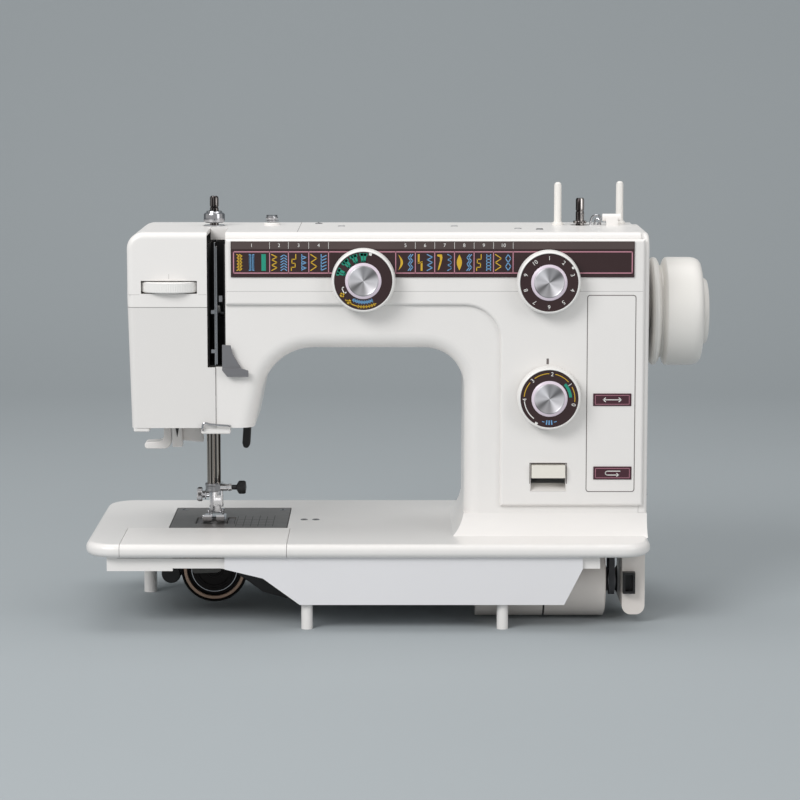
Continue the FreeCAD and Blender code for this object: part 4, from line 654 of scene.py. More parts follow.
def makePanelMarks():
    y = panel["y"]
    bm = addFrame(bmesh.new(), *panel["outline"], y, 0.5, 1.6)
    finishPiece(bm, "panelOutline", "line", flat=True)
    bm = addStroke(bmesh.new(), *panel["index"], y, 1.5)
    finishPiece(bm, "lengthIndex", "line", flat=True)
    seams = bmesh.new()
    addStroke(seams, (-114.0, 219.4), (158.5, 219.4), y, 0.3, 0.05)
    addStroke(seams, (-179.0, 217.0), (-171.5, 217.0), panel["faceY"], 0.25, 0.05)
    addStroke(seams, (-132.8, 217.0), (-127.6, 217.0), panel["faceY"], 0.25, 0.05)
    addStroke(seams, (-152.1, 227.4), (-152.1, 230.4), panel["faceY"], 0.3, 0.05)
    finishPiece(seams, "panelCreases", "seam", flat=True)
    frames, marks = bmesh.new(), bmesh.new()
    for index, (low, high) in enumerate(panel["plates"]):
        front = y - panel["plateRise"]
        plate = addBlock(bmesh.new(), (low[0], front, low[1]), (high[0], y + 0.1, high[1]))
        finishPiece(plate, "labelPlate" + str(index), "maroon", edge=0.25)
        addFrame(frames, (low[0] + 1.4, low[1] + 1.2), (high[0] - 1.4, high[1] - 1.2), front, 0.28)
        x, z = (low[0] + high[0]) / 2, (low[1] + high[1]) / 2
        if index == 0:
            addLine(marks, [(x - 6, z), (x + 6, z)], front, 0.55)
            addLine(marks, [(x - 4.4, z + 1.3), (x - 6, z), (x - 4.4, z - 1.3)], front, 0.55)
            addLine(marks, [(x + 4.4, z + 1.3), (x + 6, z), (x + 4.4, z - 1.3)], front, 0.55)
        else:
            hook = [(x + 5, z + 1.3), (x - 3.6, z + 1.3), (x - 4.6, z + 0.6), (x - 4.6, z - 0.6),
                    (x - 3.6, z - 1.3), (x + 4, z - 1.3)]
            addLine(marks, hook, front, 0.55)
            addLine(marks, [(x + 2.8, z - 0.2), (x + 4.2, z - 1.3), (x + 2.8, z - 2.2)], front, 0.5)
    finishPiece(frames, "labelFrames", "pink", flat=True)
    finishPiece(marks, "labelMarks", "white", slot="chart_brown", flat=True)


makePanelMarks()
print("chart and panel marks made")

# handwheel and its clutch knob
wheel = {
    "x": 164.5, "axis": (5.0, 200.7),
    "profile": [(6.7, 0), (12, 0), (12, 3.1), (33.2, 3.1), (35.0, 3.5), (36.1, 4.5), (36.4, 6.0),
                (35.7, 7.4), (33.6, 8.5), (31.6, 9.2), (30.7, 10.0), (30.9, 10.8), (32.6, 11.5),
                (35.0, 12.3), (36.2, 13.4), (36.5, 15.2), (36.4, 29.8), (36.0, 32.8), (34.9, 35.3),
                (32.9, 36.9), (30.2, 37.5), (24.6, 37.6), (23.8, 36.9), (23.6, 33.3), (6.7, 33.3)],
    "knobX": 197.7,
    "knob": [(0, 0), (22.0, 0), (22.4, 0.5), (22.4, 5.6), (22.0, 7.2), (20.8, 8.4), (18.8, 8.8),
             (12.5, 8.5), (11.9, 8.2), (11.3, 8.5), (0, 8.3)],
}
bm = addTurned(bmesh.new(), wheel["profile"], (1, 0, 0), (wheel["x"], *wheel["axis"]), 144, True)
finishPiece(bm, "handwheelRim", "wheel", "drive_shaft", "white_plastic", ["handwheel"])
bm = addTurned(bmesh.new(), wheel["knob"], (1, 0, 0), (wheel["knobX"], *wheel["axis"]), 120)
finishPiece(bm, "clutchKnobCap", "wheel", "clutch", "white_plastic", ["clutch_knob"])


def knurl(bm, axis, centre, radius, depth, steps):
    along, base = Vector(axis), Vector(centre) * mm
    side = Vector((1, 0, 0)) if abs(along.z) > 0.5 else Vector((0, 0, 1))
    other = along.cross(side)
    for vert in bm.verts:
        arm = vert.co - base
        arm -= along * arm.dot(along)
        if arm.length > (radius - 0.02) * mm:
            step = round(atan2(arm.dot(other), arm.dot(side)) / (2 * pi / steps))
            if step % 2:
                vert.co -= arm.normalized() * depth * mm
    return bm


# thread tension thumbwheel, milled on its rim
thumb = {
    "centre": (-152.1, -34.0, 218.2), "radius": 22.0, "steps": 240,
    "profile": [(3.05, 0), (21.2, 0), (22, 0.7), (22, 6.5), (21.2, 7.2), (3.05, 7.2)],
}
bm = addTurned(bmesh.new(), thumb["profile"], (0, 0, 1), thumb["centre"], thumb["steps"], True)
knurl(bm, (0, 0, 1), thumb["centre"], thumb["radius"], 0.22, thumb["steps"])
finishPiece(bm, "tensionThumbwheel", "dial", "thread_tension", "white_plastic", ["tension_wheel"])

# painted shade: a black sheet box inside the take-up slot, open to the front and the top, standing for the
# shade inside
takeUpSlot = {
    "low": (-126.7, -47.2, 170.0), "high": (-115.6, -16.6, 249.6), "sheet": 0.6,
    "strip": [(-122.6, -46.6), (-121.9, -46.9), (-121.7, -44.2), (-122.4, -44.2)], "stripZ": (169.2, 251.0),
    "stops": [((-124.9, -46.2, z), (-122.5, -43.6, z + 2.4)) for z in (204.0, 178.0)],
}
(x0, y0, z0), (x1, y1, z1), sheet = takeUpSlot["low"], takeUpSlot["high"], takeUpSlot["sheet"]
bm = addBlocks(bmesh.new(), [
    ((x0, y0, z0), (x0 + sheet, y1, z1)), ((x1 - sheet, y0, z0), (x1, y1, z1)),
    ((x0, y1 - sheet, z0), (x1, y1, z1)), ((x0, y0, z0 - sheet), (x1, y1, z0))])
finishPiece(bm, "recessShade", "cavityShade", flat=True)
bm = addPrism(bmesh.new(), takeUpSlot["strip"], "z", *takeUpSlot["stripZ"])
addBlocks(bm, takeUpSlot["stops"])
finishPiece(bm, "tensionStrip", "chrome", edge=0.12)

# lower thread guide: sloped grey bracket with a folded foot
guide = {
    "slope": [(-117.4, 184.0), (-111.8, 184.0), (-110.4, 178.0), (-104.6, 168.4), (-117.4, 167.4)],
    "foot": [(-117.4, 168.6), (-117.4, 167.4), (-114.0, 163.2), (-100.2, 163.2), (-100.2, 167.2),
             (-105.4, 168.9)],
    "fold": ((-117.4, -52.2, 167.0), (-115.6, -49.1, 184.0)),
}
bm = addPrism(bmesh.new(), guide["slope"], "y", -52.6, -52.0)
addPrism(bm, guide["foot"], "y", -53.9, -52.0)
addBlock(bm, *guide["fold"])
finishPiece(bm, "lowerGuideBracket", "guide", slot="plate_steel", stands=["lower_thread_guide"], edge=0.25)

# spool pins, winder spindle and spring, pretension stud, pressure regulator
top = {
    "z": 257.8, "spools": [(106.3, 20.0), (149.0, 31.0)], "spindle": (121.3, 20.0), "stud": (-87.4, 20.0),
    "pressure": (-126.0, 13.0),
}
bm = bmesh.new()
for x, y in top["spools"]:
    addTurned(bm, [
        (0, 0), (4.0, 0), (4.0, 0.9), (3.5, 1.7), (2.75, 2.2), (2.55, 3.0), (2.5, 26.6), (2.2, 28.0),
        (1.3, 28.9), (0, 29.1)], (0, 0, 1), (x, y, top["z"]), 48)
finishPiece(bm, "spoolPins", "wheel", "frame", "white_plastic", ["spool_pins"])
bm = addTurned(bmesh.new(), [
    (0, 0), (8, 0), (8, 7), (2.9, 7), (2.9, 21.9), (4.5, 22.0), (4.6, 22.9), (4.3, 23.7), (2.9, 23.9),
    (2.9, 29.5), (2.6, 29.8), (2.6, 30.6), (2.9, 30.9), (2.85, 38.0), (2.3, 39.1), (0, 39.1)],
    (0, 0, 1), (*top["spindle"], 237.0), 64)
finishPiece(bm, "winderSpindle", "pin", "winder_shaft", "chrome", ["winder_spindle"])
bm = addTube(bmesh.new(), [
    (128.5, 21, 257.6), (128.8, 21, 262.5), (131.5, 20.5, 264.6), (135.0, 19, 264.2), (135.6, 18, 261.0),
    (133.0, 17.5, 258.0)], 0.7)
addTube(bm, [
    (131.2, 22, 257.6), (131.6, 21.8, 261.0), (133.4, 21, 262.4), (135.2, 20, 260.4),
    (135.4, 19.5, 257.6)], 0.6)
finishPiece(bm, "winderSpring", "chrome")
studBase = (*top["stud"], top["z"])
bm = addTurned(bmesh.new(), [
    (0, 0), (5.5, 0), (5.5, 1.1), (5.1, 1.7), (2.5, 2.0), (0, 2.0)], (0, 0, 1), studBase, 48)
finishPiece(bm, "pretensionBase", "cover", "frame", "white_plastic")
bm = addTurned(bmesh.new(), [
    (0, 1.9), (2.4, 1.9), (2.4, 2.6), (4.6, 2.8), (4.6, 3.2), (2.6, 3.4), (2.6, 3.7), (4.0, 3.9), (4.2, 4.4),
    (4.1, 5.4), (3.4, 6.3), (2.0, 6.7), (0, 6.7)], (0, 0, 1), studBase, 64)
finishPiece(bm, "pretensionDiscs", "chrome", "frame", "chrome", ["top_thread_guide"])
# a thin dark block across the stud's top: painted shade of its slot
bm = addBlock(bmesh.new(), (-91.2, 19.55, 264.2), (-83.6, 20.45, 264.53))
finishPiece(bm, "pretensionSlot", "cavityShade", slot="chrome", flat=True)
ringCentre = (*top["pressure"], 260.0)
bm = addTurned(bmesh.new(), [
    (3.5, 0), (6.4, 0), (6.9, 0.5), (7.1, 1.0), (7.1, 5.4), (6.7, 6.2), (5.9, 6.6), (5.4, 7.0), (5.2, 7.7),
    (4.6, 8.0), (3.5, 8.0)], (0, 0, 1), ringCentre, 96, True)
knurl(bm, (0, 0, 1), ringCentre, 7.1, 0.18, 96)
finishPiece(bm, "pressureRing", "chrome", "pressure_release", "chrome", ["pressure_ring"])
bm = addTurned(bmesh.new(), [
    (0, 246), (3, 246), (3, 269.5), (2.7, 269.9), (2.7, 270.6), (3, 271), (3, 276.4), (2.7, 277.4),
    (1.9, 278.0), (0, 278.1)], (0, 0, 1), (*top["pressure"], 0), 48)
finishPiece(bm, "pressurePin", "pin", "pressure_plunger", "chrome", ["pressure_pin"])
print("wheel, slot and top fittings made")

# needle clamp, thumbscrew, presser foot and its screw
head = {"needle": (-128.5, 0.0), "clampZ": 80.9, "foot": (-126.0, 13.0), "screwZ": 74.0}
bm = addTurned(bmesh.new(), [
    (0, 78), (4.0, 78), (4.4, 78.4), (4.4, 79.6), (4.1, 79.8), (4.1, 82.0), (4.4, 82.2), (4.4, 83.6),
    (4.0, 84), (0, 84)], (0, 0, 1), (*head["needle"], 0), 48)
addBlock(bm, (-128.5, -3.4, 78.6), (-122.6, 3.4, 83.4))
finishPiece(bm, "needleClamp", "steel", "needle_carrier", "chrome", ["needle_clamp"], 0.3)
clampAxis = (0, 0, head["clampZ"])
bm = addTurned(bmesh.new(), [
    (0, -123.5), (2.5, -123.5), (2.5, -118.2), (2.2, -117.9), (2.2, -117.3), (2.5, -117.0), (2.5, -115.0),
    (1.8, -114.6), (0, -114.6)], (1, 0, 0), clampAxis, 40)
finishPiece(bm, "clampSleeve", "bright", "needle_carrier", "chrome")
bm = addTurned(bmesh.new(), [
    (0, -115.2), (1.6, -115.2), (1.7, -111.6), (3.6, -110.6), (4.5, -109.8), (4.5, -106.4), (3.9, -105.4),
    (1.0, -104.95), (0.9, -105.8), (0, -105.8)], (1, 0, 0), clampAxis, 72)
knurl(bm, (1, 0, 0), clampAxis, 4.5, 0.2, 72)
finishPiece(bm, "clampThumbscrew", "black", "needle_carrier", "black_plastic")
screwAxis = (0, head["foot"][1], head["screwZ"])
bm = addTurned(bmesh.new(), [
    (0, -139.35), (1.0, -139.35), (1.2, -138.6), (4.2, -139.2), (4.85, -138.5), (4.85, -136.2), (4.2, -135.6),
    (2.6, -135.4), (2.4, -134.2), (3.4, -133.9), (3.4, -133.1), (2.0, -132.9), (2.0, -130.5), (0, -130.5)],
    (1, 0, 0), screwAxis, 64)
knurl(bm, (1, 0, 0), screwAxis, 4.85, 0.3, 64)
finishPiece(bm, "footScrew", "bright", "presser", "chrome", ["foot_screw"])


# presser foot: sole with turned-up toes, split by the needle gap, then ankle pin and slotted shank
foot = {
    "toe": [(-13.0, 62.9), (-12.0, 60.9), (-10.4, 59.2), (-8.4, 58.5), (-2.6, 58.4), (-2.6, 60.2),
            (-8.0, 60.3), (-9.8, 61.0), (-11.2, 62.4), (-12.2, 64.2)],
    "toes": [(-134.0, -127.9), (-124.9, -119.4)],
    "sole": [((-134.0, -2.6, 58.4), (-132.2, 2.6, 60.2)), ((-121.2, -2.6, 58.4), (-119.4, 2.6, 60.2)),
             ((-134.0, 2.6, 58.4), (-119.4, 15.0, 60.2)), ((-131.2, 7.4, 60.1), (-129.8, 12.0, 64.6)),
             ((-122.2, 7.4, 60.1), (-120.8, 12.0, 64.6))],
    "pinAxis": (0, 9.6, 62.9),
    "pin": [(0, -131.9), (1.4, -131.9), (1.5, -131.3), (1.1, -131.2), (1.1, -120.8), (1.5, -120.7),
            (1.4, -120.1), (0, -120.1)],
    "shank": [((-129.4, 7.6, 62.2), (-122.6, 11.6, 67.0)), ((-130.5, 7.0, 66.4), (-121.5, 10.0, 82.0)),
              ((-130.5, 7.0, 66.4), (-129.0, 18.0, 82.0)), ((-123.0, 7.0, 66.4), (-121.5, 18.0, 82.0)),
              ((-129.2, 9.8, 66.4), (-122.8, 16.0, 81.0))],
}


def makeFoot():
    bm = bmesh.new()
    for left, right in foot["toes"]:
        addPrism(bm, foot["toe"], "x", left, right)
    addBlocks(bm, foot["sole"])
    finishPiece(bm, "footSole", "bright", "presser", "chrome", ["presser_foot"], 0.22)
    bm = addTurned(bmesh.new(), foot["pin"], (1, 0, 0), foot["pinAxis"], 24)
    finishPiece(bm, "footPin", "steel", "presser", "chrome")
    bm = addBlocks(bmesh.new(), foot["shank"])
    finishPiece(bm, "footShank", "bright", "presser", "chrome", edge=0.35)


makeFoot()

# lifter lever: hub, thin curved arm and a rounded finger end
lever = {
    "hub": (-116.0, 50.6, 150.0), "width": 5.3,
    "arm": [(-109.6, 153.6), (-105.6, 146.0), (-103.4, 138.0), (-103.0, 130.0), (-103.8, 120.0),
            (-104.4, 110.0), (-104.9, 102.2), (-106.8, 99.8), (-109.6, 100.4), (-110.4, 103.5),
            (-109.8, 112.0), (-109.4, 120.0), (-109.2, 128.0), (-110.2, 135.6), (-113.5, 142.2),
            (-120.4, 145.0)],
}
near = lever["hub"][1]
bm = addPrism(bmesh.new(), lever["arm"], "y", near, near + lever["width"])
finishPiece(bm, "lifterArm", "black", "lifter", "black_plastic", ["lifter_lever"], 1.1, segments=3)
bm = addTurned(bmesh.new(), [
    (3.1, 0), (7.6, 0), (8.0, 0.4), (8.0, 4.9), (7.6, 5.3), (3.1, 5.3)], (0, 1, 0), lever["hub"], 48, True)
finishPiece(bm, "lifterHub", "black", "lifter", "black_plastic")


# slotted screws: a domed head, with a dark bar of painted shade in its slot
def addScrew(heads, slots, place, axis, radius):
    along = Vector(axis)
    addTurned(heads, [
        (0, -0.6), (radius, -0.6), (radius, 0.2), (radius * 0.9, 0.55), (radius * 0.5, 0.78), (0, 0.82)],
        axis, place, 28)
    side = Vector((0, 1, 0)) if abs(along.x) > 0.5 else Vector((1, 0, 0))
    other = along.cross(side)
    angle = 0.5 + place[0] * 0.37
    run, width = side * cos(angle) + other * sin(angle), other * cos(angle) - side * sin(angle)
    turn = Matrix((run, width, along)).transposed().to_4x4()
    size = Matrix.Diagonal((radius * 1.55 * mm, radius * 0.24 * mm, 0.2 * mm, 1))
    middle = Matrix.Translation((Vector(place) + along * 0.76) * mm)
    bmesh.ops.create_cube(slots, size=1, matrix=middle @ turn @ size)


# per direction: seats and head radii
screws = {
    (0, 1, 0): [((-171.0, 50.0, 246.0), 3.0), ((-171.0, 50.0, 142.0), 3.0), ((-133.0, 50.0, 246.0), 3.0)]
               + [((x, 49.0, 240.0), 3.2) for x in (-60.0, 40.0, 140.0)]
               + [((x, 49.9, z), 2.6) for x in (67.0, 143.0) for z in (93.0, 183.0)],
    (1, 0, 0): [((163.0, y, 84.0), 2.8) for y in (-38.0, 38.0)]
               + [((163.0, y, 242.0), 2.8) for y in (-36.0, 36.0)],
    (0, 0, 1): [((-150.8, 44.0, 57.2), 2.6), ((-82.0, 44.0, 57.2), 2.6), ((-56.0, 32.0, 257.6), 2.6),
                ((92.0, -22.0, 257.6), 2.6)],
    (0, -1, 0): [((70.0, -72.0, 46.0), 2.6)],
    (0, 0, -1): [((x, y, 17.0), 2.8) for y in (-60.0, 46.0) for x in (-50.0, 30.0)],
}
heads, slots = bmesh.new(), bmesh.new()
for axis, seats in screws.items():
    for place, radius in seats:
        addScrew(heads, slots, place, axis, radius)
finishPiece(heads, "coverScrews", "steel")
finishPiece(slots, "screwSlots", "cavityShade", slot="chrome", flat=True)
print("head fittings and screws made")

# needle plate lines, and the toothed feed rows that stand in its slots
plate = {
    "outline": ((-155.7, -25.0), (-76.5, 53.0)), "z": (57.4, 57.54), "jointZ": (57.4, 57.53),
    "lines": [-111.5, -106.5, -101.5, -96.5, -91.5, -86.5], "front": -20.0, "backs": (18.0, 22.0),
    "crossLines": (-14.0, -4.0, 6.0), "crossX": (-110.8, -87.0),
}
(z0, z1), (x0, x1) = plate["z"], plate["crossX"]
bm = bmesh.new()
for index, x in enumerate(plate["lines"]):
    addBlock(bm, (x - 0.2, plate["front"], z0), (x + 0.2, plate["backs"][index % 2], z1))
addBlocks(bm, [((x0, y - 0.15, z0), (x1, y + 0.15, z1)) for y in plate["crossLines"]])
(left, front), (right, back) = plate["outline"]
z0, z1 = plate["jointZ"]
addBlocks(bm, [
    ((left, front, z0), (left + 0.4, back, z1)), ((right - 0.4, front, z0), (right, back, z1)),
    ((left, back - 0.5, z0), (right, back, z1))])
finishPiece(bm, "plateLines", "dark", slot="plate_steel", flat=True)
feed = {
    "fork": [((-139.5, 4.6, 51.6), (-112.5, 20.0, 53.8)), ((-139.5, -9.0, 51.6), (-132.7, 5.0, 53.8)),
             ((-119.3, -9.0, 51.6), (-112.5, 5.0, 53.8))],
    "rows": [(-138.6, -134.4), (-117.6, -113.4)], "y": (-6.0, 12.0), "z": (53.0, 56.2),
    "pitch": 1.5, "tooth": [(0, 56.1), (1.5, 56.1), (1.35, 57.2), (1.1, 57.2)],
}
bm = addBlocks(bmesh.new(), feed["fork"])
for left, right in feed["rows"]:
    addBlock(bm, *zip((left, right), feed["y"], feed["z"]))
    for step in range(12):
        start = feed["y"][0] + step * feed["pitch"]
        addPrism(bm, [(start + y, z) for y, z in feed["tooth"]], "x", left + 0.2, right - 0.2)
finishPiece(bm, "feedTeeth", "steel", "dog", "plate_steel", ["feed_dog"], flat=True)

# under the head: threader with a turned-out finger foot, its guide and dart, bracket, lower lip, thread wire
underHead = {
    "threader": [(-174.4, 107.0), (-173.0, 106.1), (-161.0, 106.1), (-157.8, 107.2), (-156.3, 109.8),
                 (-156.1, 190.0), (-161.2, 190.0), (-161.4, 114.6), (-162.4, 112.0), (-164.6, 111.0),
                 (-173.4, 110.6), (-174.6, 109.4)],
    "guide": ((-155.2, 3.0, 108.0), (-148.4, 13.5, 132.0)),
    "fin": [(-148.6, 128.0), (-148.6, 112.0), (-141.0, 111.0), (-134.5, 110.6), (-134.0, 113.5),
            (-136.5, 121.0), (-140.0, 128.0)],
    "dart": [(-154.0, 127.0), (-151.8, 114.6), (-149.6, 127.0)],
    "bracket": ((-170.0, 4.0, 127.2), (-158.0, 26.0, 129.6)),
    "lips": [((-131.8, -49.6, 124.6), (-112.5, -41.5, 128.9)),
             ((-176.5, -49.2, 126.0), (-166.0, 30.0, 129.4))],
    "wire": [(-130.6, -49.0, 127.0), (-130.8, -51.6, 128.0), (-130.6, -52.2, 131.4), (-128.8, -52.2, 132.6),
             (-126.0, -52.2, 131.4), (-115.0, -52.0, 130.6), (-112.8, -50.6, 130.2), (-112.6, -48.4, 130.0)],
}
bm = addPrism(bmesh.new(), underHead["threader"], "y", 8.1, 21.9)
finishPiece(bm, "threaderLever", "cover", "threader", "white_plastic", ["needle_threader"], 0.9, segments=3)
bm = addBlock(bmesh.new(), *underHead["guide"])
addPrism(bm, underHead["fin"], "y", 8.5, 12.0)
finishPiece(bm, "threaderGuide", "cover", edge=0.8)
bm = addPrism(bmesh.new(), underHead["dart"], "y", 2.6, 3.4)
addBlock(bm, *underHead["bracket"])
finishPiece(bm, "threaderDart", "black", edge=0.15)
finishPiece(addBlocks(bmesh.new(), underHead["lips"]), "headLip", "cover", edge=1.0, segments=3)
finishPiece(addTube(bmesh.new(), underHead["wire"], 0.75), "needleThreadWire", "chrome")
print("plate and head underside made")


# hook race: dark rim, tan ring with a painted reflection, bobbin case face in dark painted shadow with its
# latch; clamp arm, guard, strip under the bed edge
hookTrim = {
    "centre": (-126.2, 0, 27.5), "clampAxis": (-155.9, 0, 23.0),
    "clamp": [(0, -10.0), (6.0, -10.0), (6.6, -9.4), (6.6, 1.4), (6.0, 2.0), (0, 2.0)],
    "clampArm": [(-158.0, 24.0), (-153.0, 18.5), (-148.9, 22.0), (-148.9, 40.0), (-154.0, 40.0)],
    "rim": [(21.3, -14.1), (22.4, -14.1), (22.5, -14.9), (22.1, -15.6), (21.5, -15.6), (21.2, -14.9)],
    "ring": [(18.3, -14.0), (20.9, -14.0), (20.9, -15.2), (20.5, -15.7), (18.7, -15.7), (18.3, -15.2)],
    "face": [(0, -16.05), (4.2, -16.05), (4.4, -16.6), (5.4, -16.6), (5.6, -16.1), (10.8, -16.1),
             (11.2, -16.5), (12.4, -16.5), (12.8, -16.1), (15.0, -16.1), (15.5, -15.6), (15.5, -12.0),
             (0, -12.0)],
    "latch": [(-141.0, 26.0), (-139.5, 24.6), (-124.0, 25.2), (-121.6, 26.4), (-121.6, 28.6), (-124.0, 29.8),
              (-139.5, 30.4), (-141.0, 29.0)],
    "guard": [(-109.5, 40.0), (-109.0, 30.0), (-101.0, 24.6), (-92.0, 17.8), (-76.0, 13.4), (-72.0, 16.0),
              (-74.0, 24.0), (-92.0, 40.0)],
    "strip": [(-149.4, 47.2), (-149.4, 41.2), (-148.6, 40.6), (-118.0, 40.6), (-112.6, 39.9), (-112.6, 47.2)],
    "stripRibs": (-140.0, -121.0),
}


def makeHook():
    size, centre, along = hookTrim, hookTrim["centre"], (0, 1, 0)
    for part, name, finish in (("rim", "raceRim", "darkSteel"), ("ring", "raceRing", "race")):
        bm = addTurned(bmesh.new(), size[part], along, centre, 96, True)
        finishPiece(bm, name, finish, slot="shaft_steel")
    # the chrome bobbin case face gets the dark steel finish: painted shadow inside the race
    bm = addTurned(bmesh.new(), size["face"], along, centre, 96)
    finishPiece(bm, "caseFace", "darkSteel", slot="chrome")
    bm = addPrism(bmesh.new(), size["latch"], "y", -17.4, -16.3)
    finishPiece(bm, "caseLatch", "latch", slot="chrome", edge=0.25)
    bm = addTurned(bmesh.new(), size["clamp"], along, size["clampAxis"], 48)
    addPrism(bm, size["clampArm"], "y", -9.0, 1.0)
    finishPiece(bm, "raceClampArm", "black", edge=0.5)
    bm = addPrism(bmesh.new(), size["guard"], "y", -46.0, -42.5)
    finishPiece(bm, "hookGuard", "black", edge=0.5)
    bm = addPrism(bmesh.new(), size["strip"], "y", -82.0, -79.5)
    addBlocks(bm, [((x, -80.0, 41.6), (x + 2.0, -77.0, 46.8)) for x in size["stripRibs"]])
    finishPiece(bm, "bedStrip", "enamel", slot="white_enamel", edge=0.4)


makeHook()


# motor: joint band, cooling slots as dark painted shade, brush cap, end ring
motorTrim = {
    "axis": (0, -38.0, 25.0), "cap": (84.0, -61.6, 25.0),
    "band": [(23.8, 93.9), (24.05, 93.9), (24.05, 95.1), (23.8, 95.1)],
    "brush": [(0, -0.5), (4.5, -0.5), (4.5, 1.2), (3.9, 1.9), (1.6, 2.0), (1.4, 1.2), (0, 1.2)],
    "ring": [(16.0, 134.4), (22.8, 134.4), (22.8, 134.8), (21.8, 135.5), (16.6, 135.5), (16.0, 135.1)],
}


def makeMotorTrim():
    size, centre, along = motorTrim, motorTrim["axis"], (1, 0, 0)
    bm = addTurned(bmesh.new(), size["band"], along, centre, 96, True)
    finishPiece(bm, "motorJoint", "dark", slot="motor_cream")
    # cooling slots: dark boxes on the housing as painted shade of the openings
    bm = bmesh.new()
    for step in range(9):
        turn = Matrix.Translation(Vector(centre) * mm) @ Matrix.Rotation(radians(110 + 15 * step), 4, "X")
        for x in (108.0, 122.0):
            place = turn @ Matrix.Translation(Vector((x, -23.9, 0)) * mm)
            cut = Matrix.Diagonal((8 * mm, 0.5 * mm, 1.6 * mm, 1))
            bmesh.ops.create_cube(bm, size=1, matrix=place @ cut)
    finishPiece(bm, "motorSlots", "cavityShade", flat=True)
    bm = addTurned(bmesh.new(), size["brush"], (0, -1, 0), size["cap"], 40)
    finishPiece(bm, "brushCap", "black")
    bm = addTurned(bmesh.new(), size["ring"], along, centre, 72, True)
    finishPiece(bm, "motorEndRing", "motor")


makeMotorTrim()
print("hook and motor trim made")

# rear, end and top details: access cover, vents and oil holes drawn as dark painted shade, joints, thread
# cutter, lever recess
rear = {
    "y": 49.0, "cover": ((60.0, 86.0), (150.0, 190.0)), "corner": 6.0, "rise": 0.9, "joint": 0.35,
    "vents": (100.0, 106.0, 112.0, 118.0, 124.0), "endX": 163.0, "topZ": 257.8,
    "holes": [(-40.0, 8.0, 257.8), (36.0, 8.0, 257.8), (78.0, -14.0, 257.8), (-66.0, 6.0, 57.5),
              (-58.0, 6.0, 57.5)],
    "hole": [(0, -0.3), (1.35, -0.3), (1.35, 0.06), (0, 0.06)],
    "holeRim": [(1.3, -0.4), (2.5, -0.4), (2.5, 0.1), (2.2, 0.32), (1.5, 0.32), (1.3, 0.1)],
    "cutter": [(-181.6, 27.0), (-178.4, 26.0), (-178.4, 38.0), (-181.6, 37.0)],
    "cutterJaws": [(150.0, 153.2), (155.2, 158.4)],
    "cutterBack": ((-180.6, 29.5, 150.4), (-178.0, 37.4, 158.0)),
    "blade": ((-181.0, 29.2, 153.9), (-178.4, 36.5, 154.5)),
    "ramp": [(-51.9, 86.7), (-51.9, 86.95), (-41.0, 90.6), (-41.0, 86.7)], "rampX": (85.4, 109.1),
    "cheeks": [((x, -51.6, 86.7), (x + 0.4, -40.0, 105.3)) for x in (85.35, 108.75)],
    "window": [(85.1, 92.0), (85.1, 105.6), (109.4, 105.6), (109.4, 92.0)],
}


def addRounded(bm, low, high, corner, axis, start, end):
    return addPrism(bm, rounded(low, high, corner, range(0, 91, 15)), axis, start, end)


def makeRear():
    y, outer = rear["y"], rear["y"] + rear["rise"]
    low, high = rear["cover"]
    bm = addRounded(bmesh.new(), low, high, rear["corner"], "y", y - 0.1, outer)
    finishPiece(bm, "rearCover", "cover", edge=0.4)
    gap = rear["joint"]
    low, high = (low[0] - gap, low[1] - gap), (high[0] + gap, high[1] + gap)
    bm = addRounded(bmesh.new(), low, high, rear["corner"] + gap, "y", y - 0.1, y + 0.06)
    finishPiece(bm, "rearCoverJoint", "line", flat=True)
    # vent slots: dark rounded strips as painted shade
    bm = bmesh.new()
    for z in rear["vents"]:
        addRounded(bm, (82.0, z), (128.0, z + 2.2), 1.05, "y", outer - 0.1, outer + 0.05)
        addRounded(bm, (-22.0, z), (22.0, z + 2.2), 1.05, "x", rear["endX"] - 0.1, rear["endX"] + 0.05)
    finishPiece(bm, "ventSlots", "cavityShade", flat=True)
    # oil holes: dark discs as painted shade inside steel rims
    rims, holes = bmesh.new(), bmesh.new()
    for place in rear["holes"]:
        addTurned(rims, rear["holeRim"], (0, 0, 1), place, 36, True)
        addTurned(holes, rear["hole"], (0, 0, 1), place, 24)
    finishPiece(rims, "oilHoleRims", "steel")
    finishPiece(holes, "oilHoles", "cavityShade", flat=True)
    bm = addBlock(bmesh.new(), (-68.15, -44.0, rear["topZ"] - 0.1), (-67.85, 44.0, rear["topZ"] + 0.04))
    finishPiece(bm, "topJoint", "line", flat=True)
    bm = addBlock(bmesh.new(), *rear["cutterBack"])
    for low, high in rear["cutterJaws"]:
        addPrism(bm, rear["cutter"], "z", low, high)
    finishPiece(bm, "threadCutter", "cover", edge=0.5)
    finishPiece(addBlock(bmesh.new(), *rear["blade"]), "cutterBlade", "chrome", flat=True)
    bm = addPrism(bmesh.new(), rear["ramp"], "x", *rear["rampX"])
    finishPiece(addBlocks(bm, rear["cheeks"]), "leverRecess", "cover", flat=True)
    bm = addLine(bmesh.new(), rear["window"], panel["y"], 0.45)
    finishPiece(bm, "leverWindowEdge", "line", flat=True)


makeRear()
print("rear and top details made")

# camera, floor and light
camera = bpy.data.objects.new("camera", bpy.data.cameras.new("camera"))
camera.data.lens = 127.5
camera.data.sensor_width = 36
camera.data.clip_end = 20
camera.location = (-0.0006, -1.9, 0.3956)
camera.rotation_euler = (radians(90 - 7.642), 0, 0)
bpy.context.collection.objects.link(camera)
bpy.context.scene.camera = camera

studio = {"floor": tone(164, 170, 173), "world": 0.55, "sweep": 1.1}


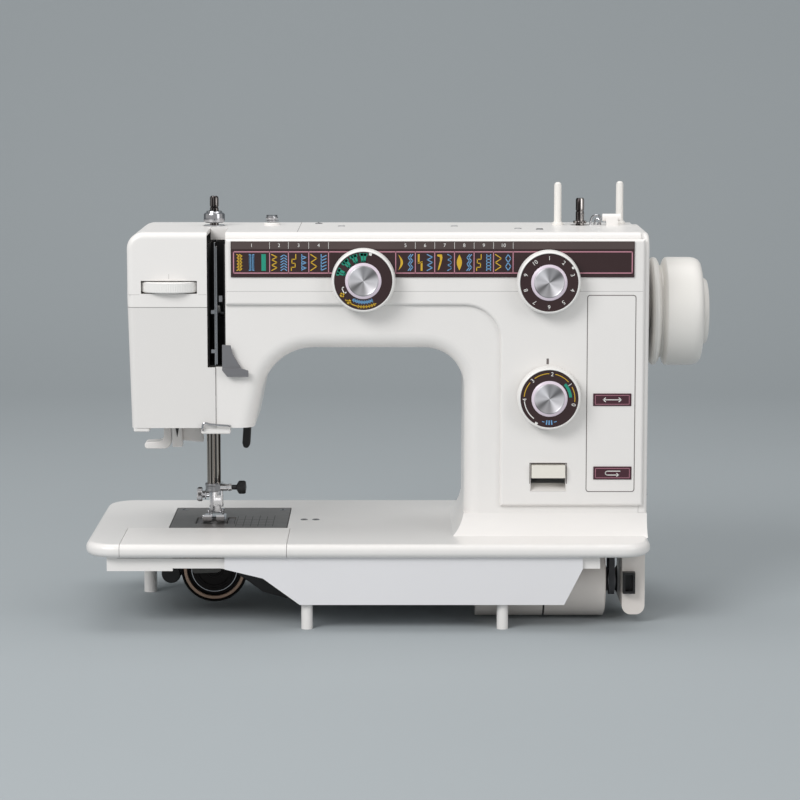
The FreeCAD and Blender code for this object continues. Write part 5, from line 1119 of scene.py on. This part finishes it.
def makeFloor():
    finish = Finish("studioFloor", {"Roughness": 0.9, "Specular IOR Level": 0.15})
    pale = studio["floor"]
    finish.set("Base Color", finish.mix(finish.noise(3.0, 2.0), pale, darker(pale, 0.97)))
    bm = bmesh.new()
    first = [bm.verts.new((-6, -6, 0)), bm.verts.new((6, -6, 0))]
    edge = bm.edges.new(first)
    runs = [(0, 6 + studio["sweep"], 0)]
    for step in range(1, 9):
        angle = radians(90 * step / 8)
        before = radians(90 * (step - 1) / 8)
        runs.append((0, (sin(angle) - sin(before)) * 0.8, (cos(before) - cos(angle)) * 0.8))
    runs.append((0, 0, 4))
    for run in runs:
        grown = bmesh.ops.extrude_edge_only(bm, edges=[edge])["geom"]
        moved = [item for item in grown if isinstance(item, bmesh.types.BMVert)]
        bmesh.ops.translate(bm, vec=run, verts=moved)
        edge = [item for item in grown if isinstance(item, bmesh.types.BMEdge)][0]
    mesh = bpy.data.meshes.new("floor")
    bmesh.ops.recalc_face_normals(bm, faces=bm.faces)
    bm.to_mesh(mesh)
    bm.free()
    mesh.materials.append(finish.material)
    mesh.polygons.foreach_set("use_smooth", [True] * len(mesh.polygons))
    floor = bpy.data.objects.new("floor", mesh)
    bpy.context.collection.objects.link(floor)


def makeLamp(name, place, target, size, power):
    lamp = bpy.data.lights.new(name, "AREA")
    lamp.shape = "RECTANGLE"
    lamp.size, lamp.size_y = size
    lamp.energy = power
    holder = bpy.data.objects.new(name, lamp)
    holder.location = place
    holder.rotation_euler = (Vector(target) - Vector(place)).to_track_quat("-Z", "Y").to_euler()
    bpy.context.collection.objects.link(holder)


makeFloor()
makeLamp("keySoftbox", (-1.1, -1.4, 1.35), (0, 0, 0.15), (1.1, 0.8), 25)
makeLamp("fillSoftbox", (1.4, -1.3, 0.8), (0, 0, 0.15), (0.9, 1.2), 7)
makeLamp("topSoftbox", (0, 0.25, 1.7), (0, 0, 0.1), (1.5, 1.1), 10)
world = bpy.data.worlds.new("studioWorld")
world.use_nodes = True
world.node_tree.nodes["Background"].inputs["Color"].default_value = (0.96, 0.96, 0.96, 1)
world.node_tree.nodes["Background"].inputs["Strength"].default_value = studio["world"]
bpy.context.scene.world = world
bpy.context.scene.view_settings.view_transform = "Standard"
print("studio set")
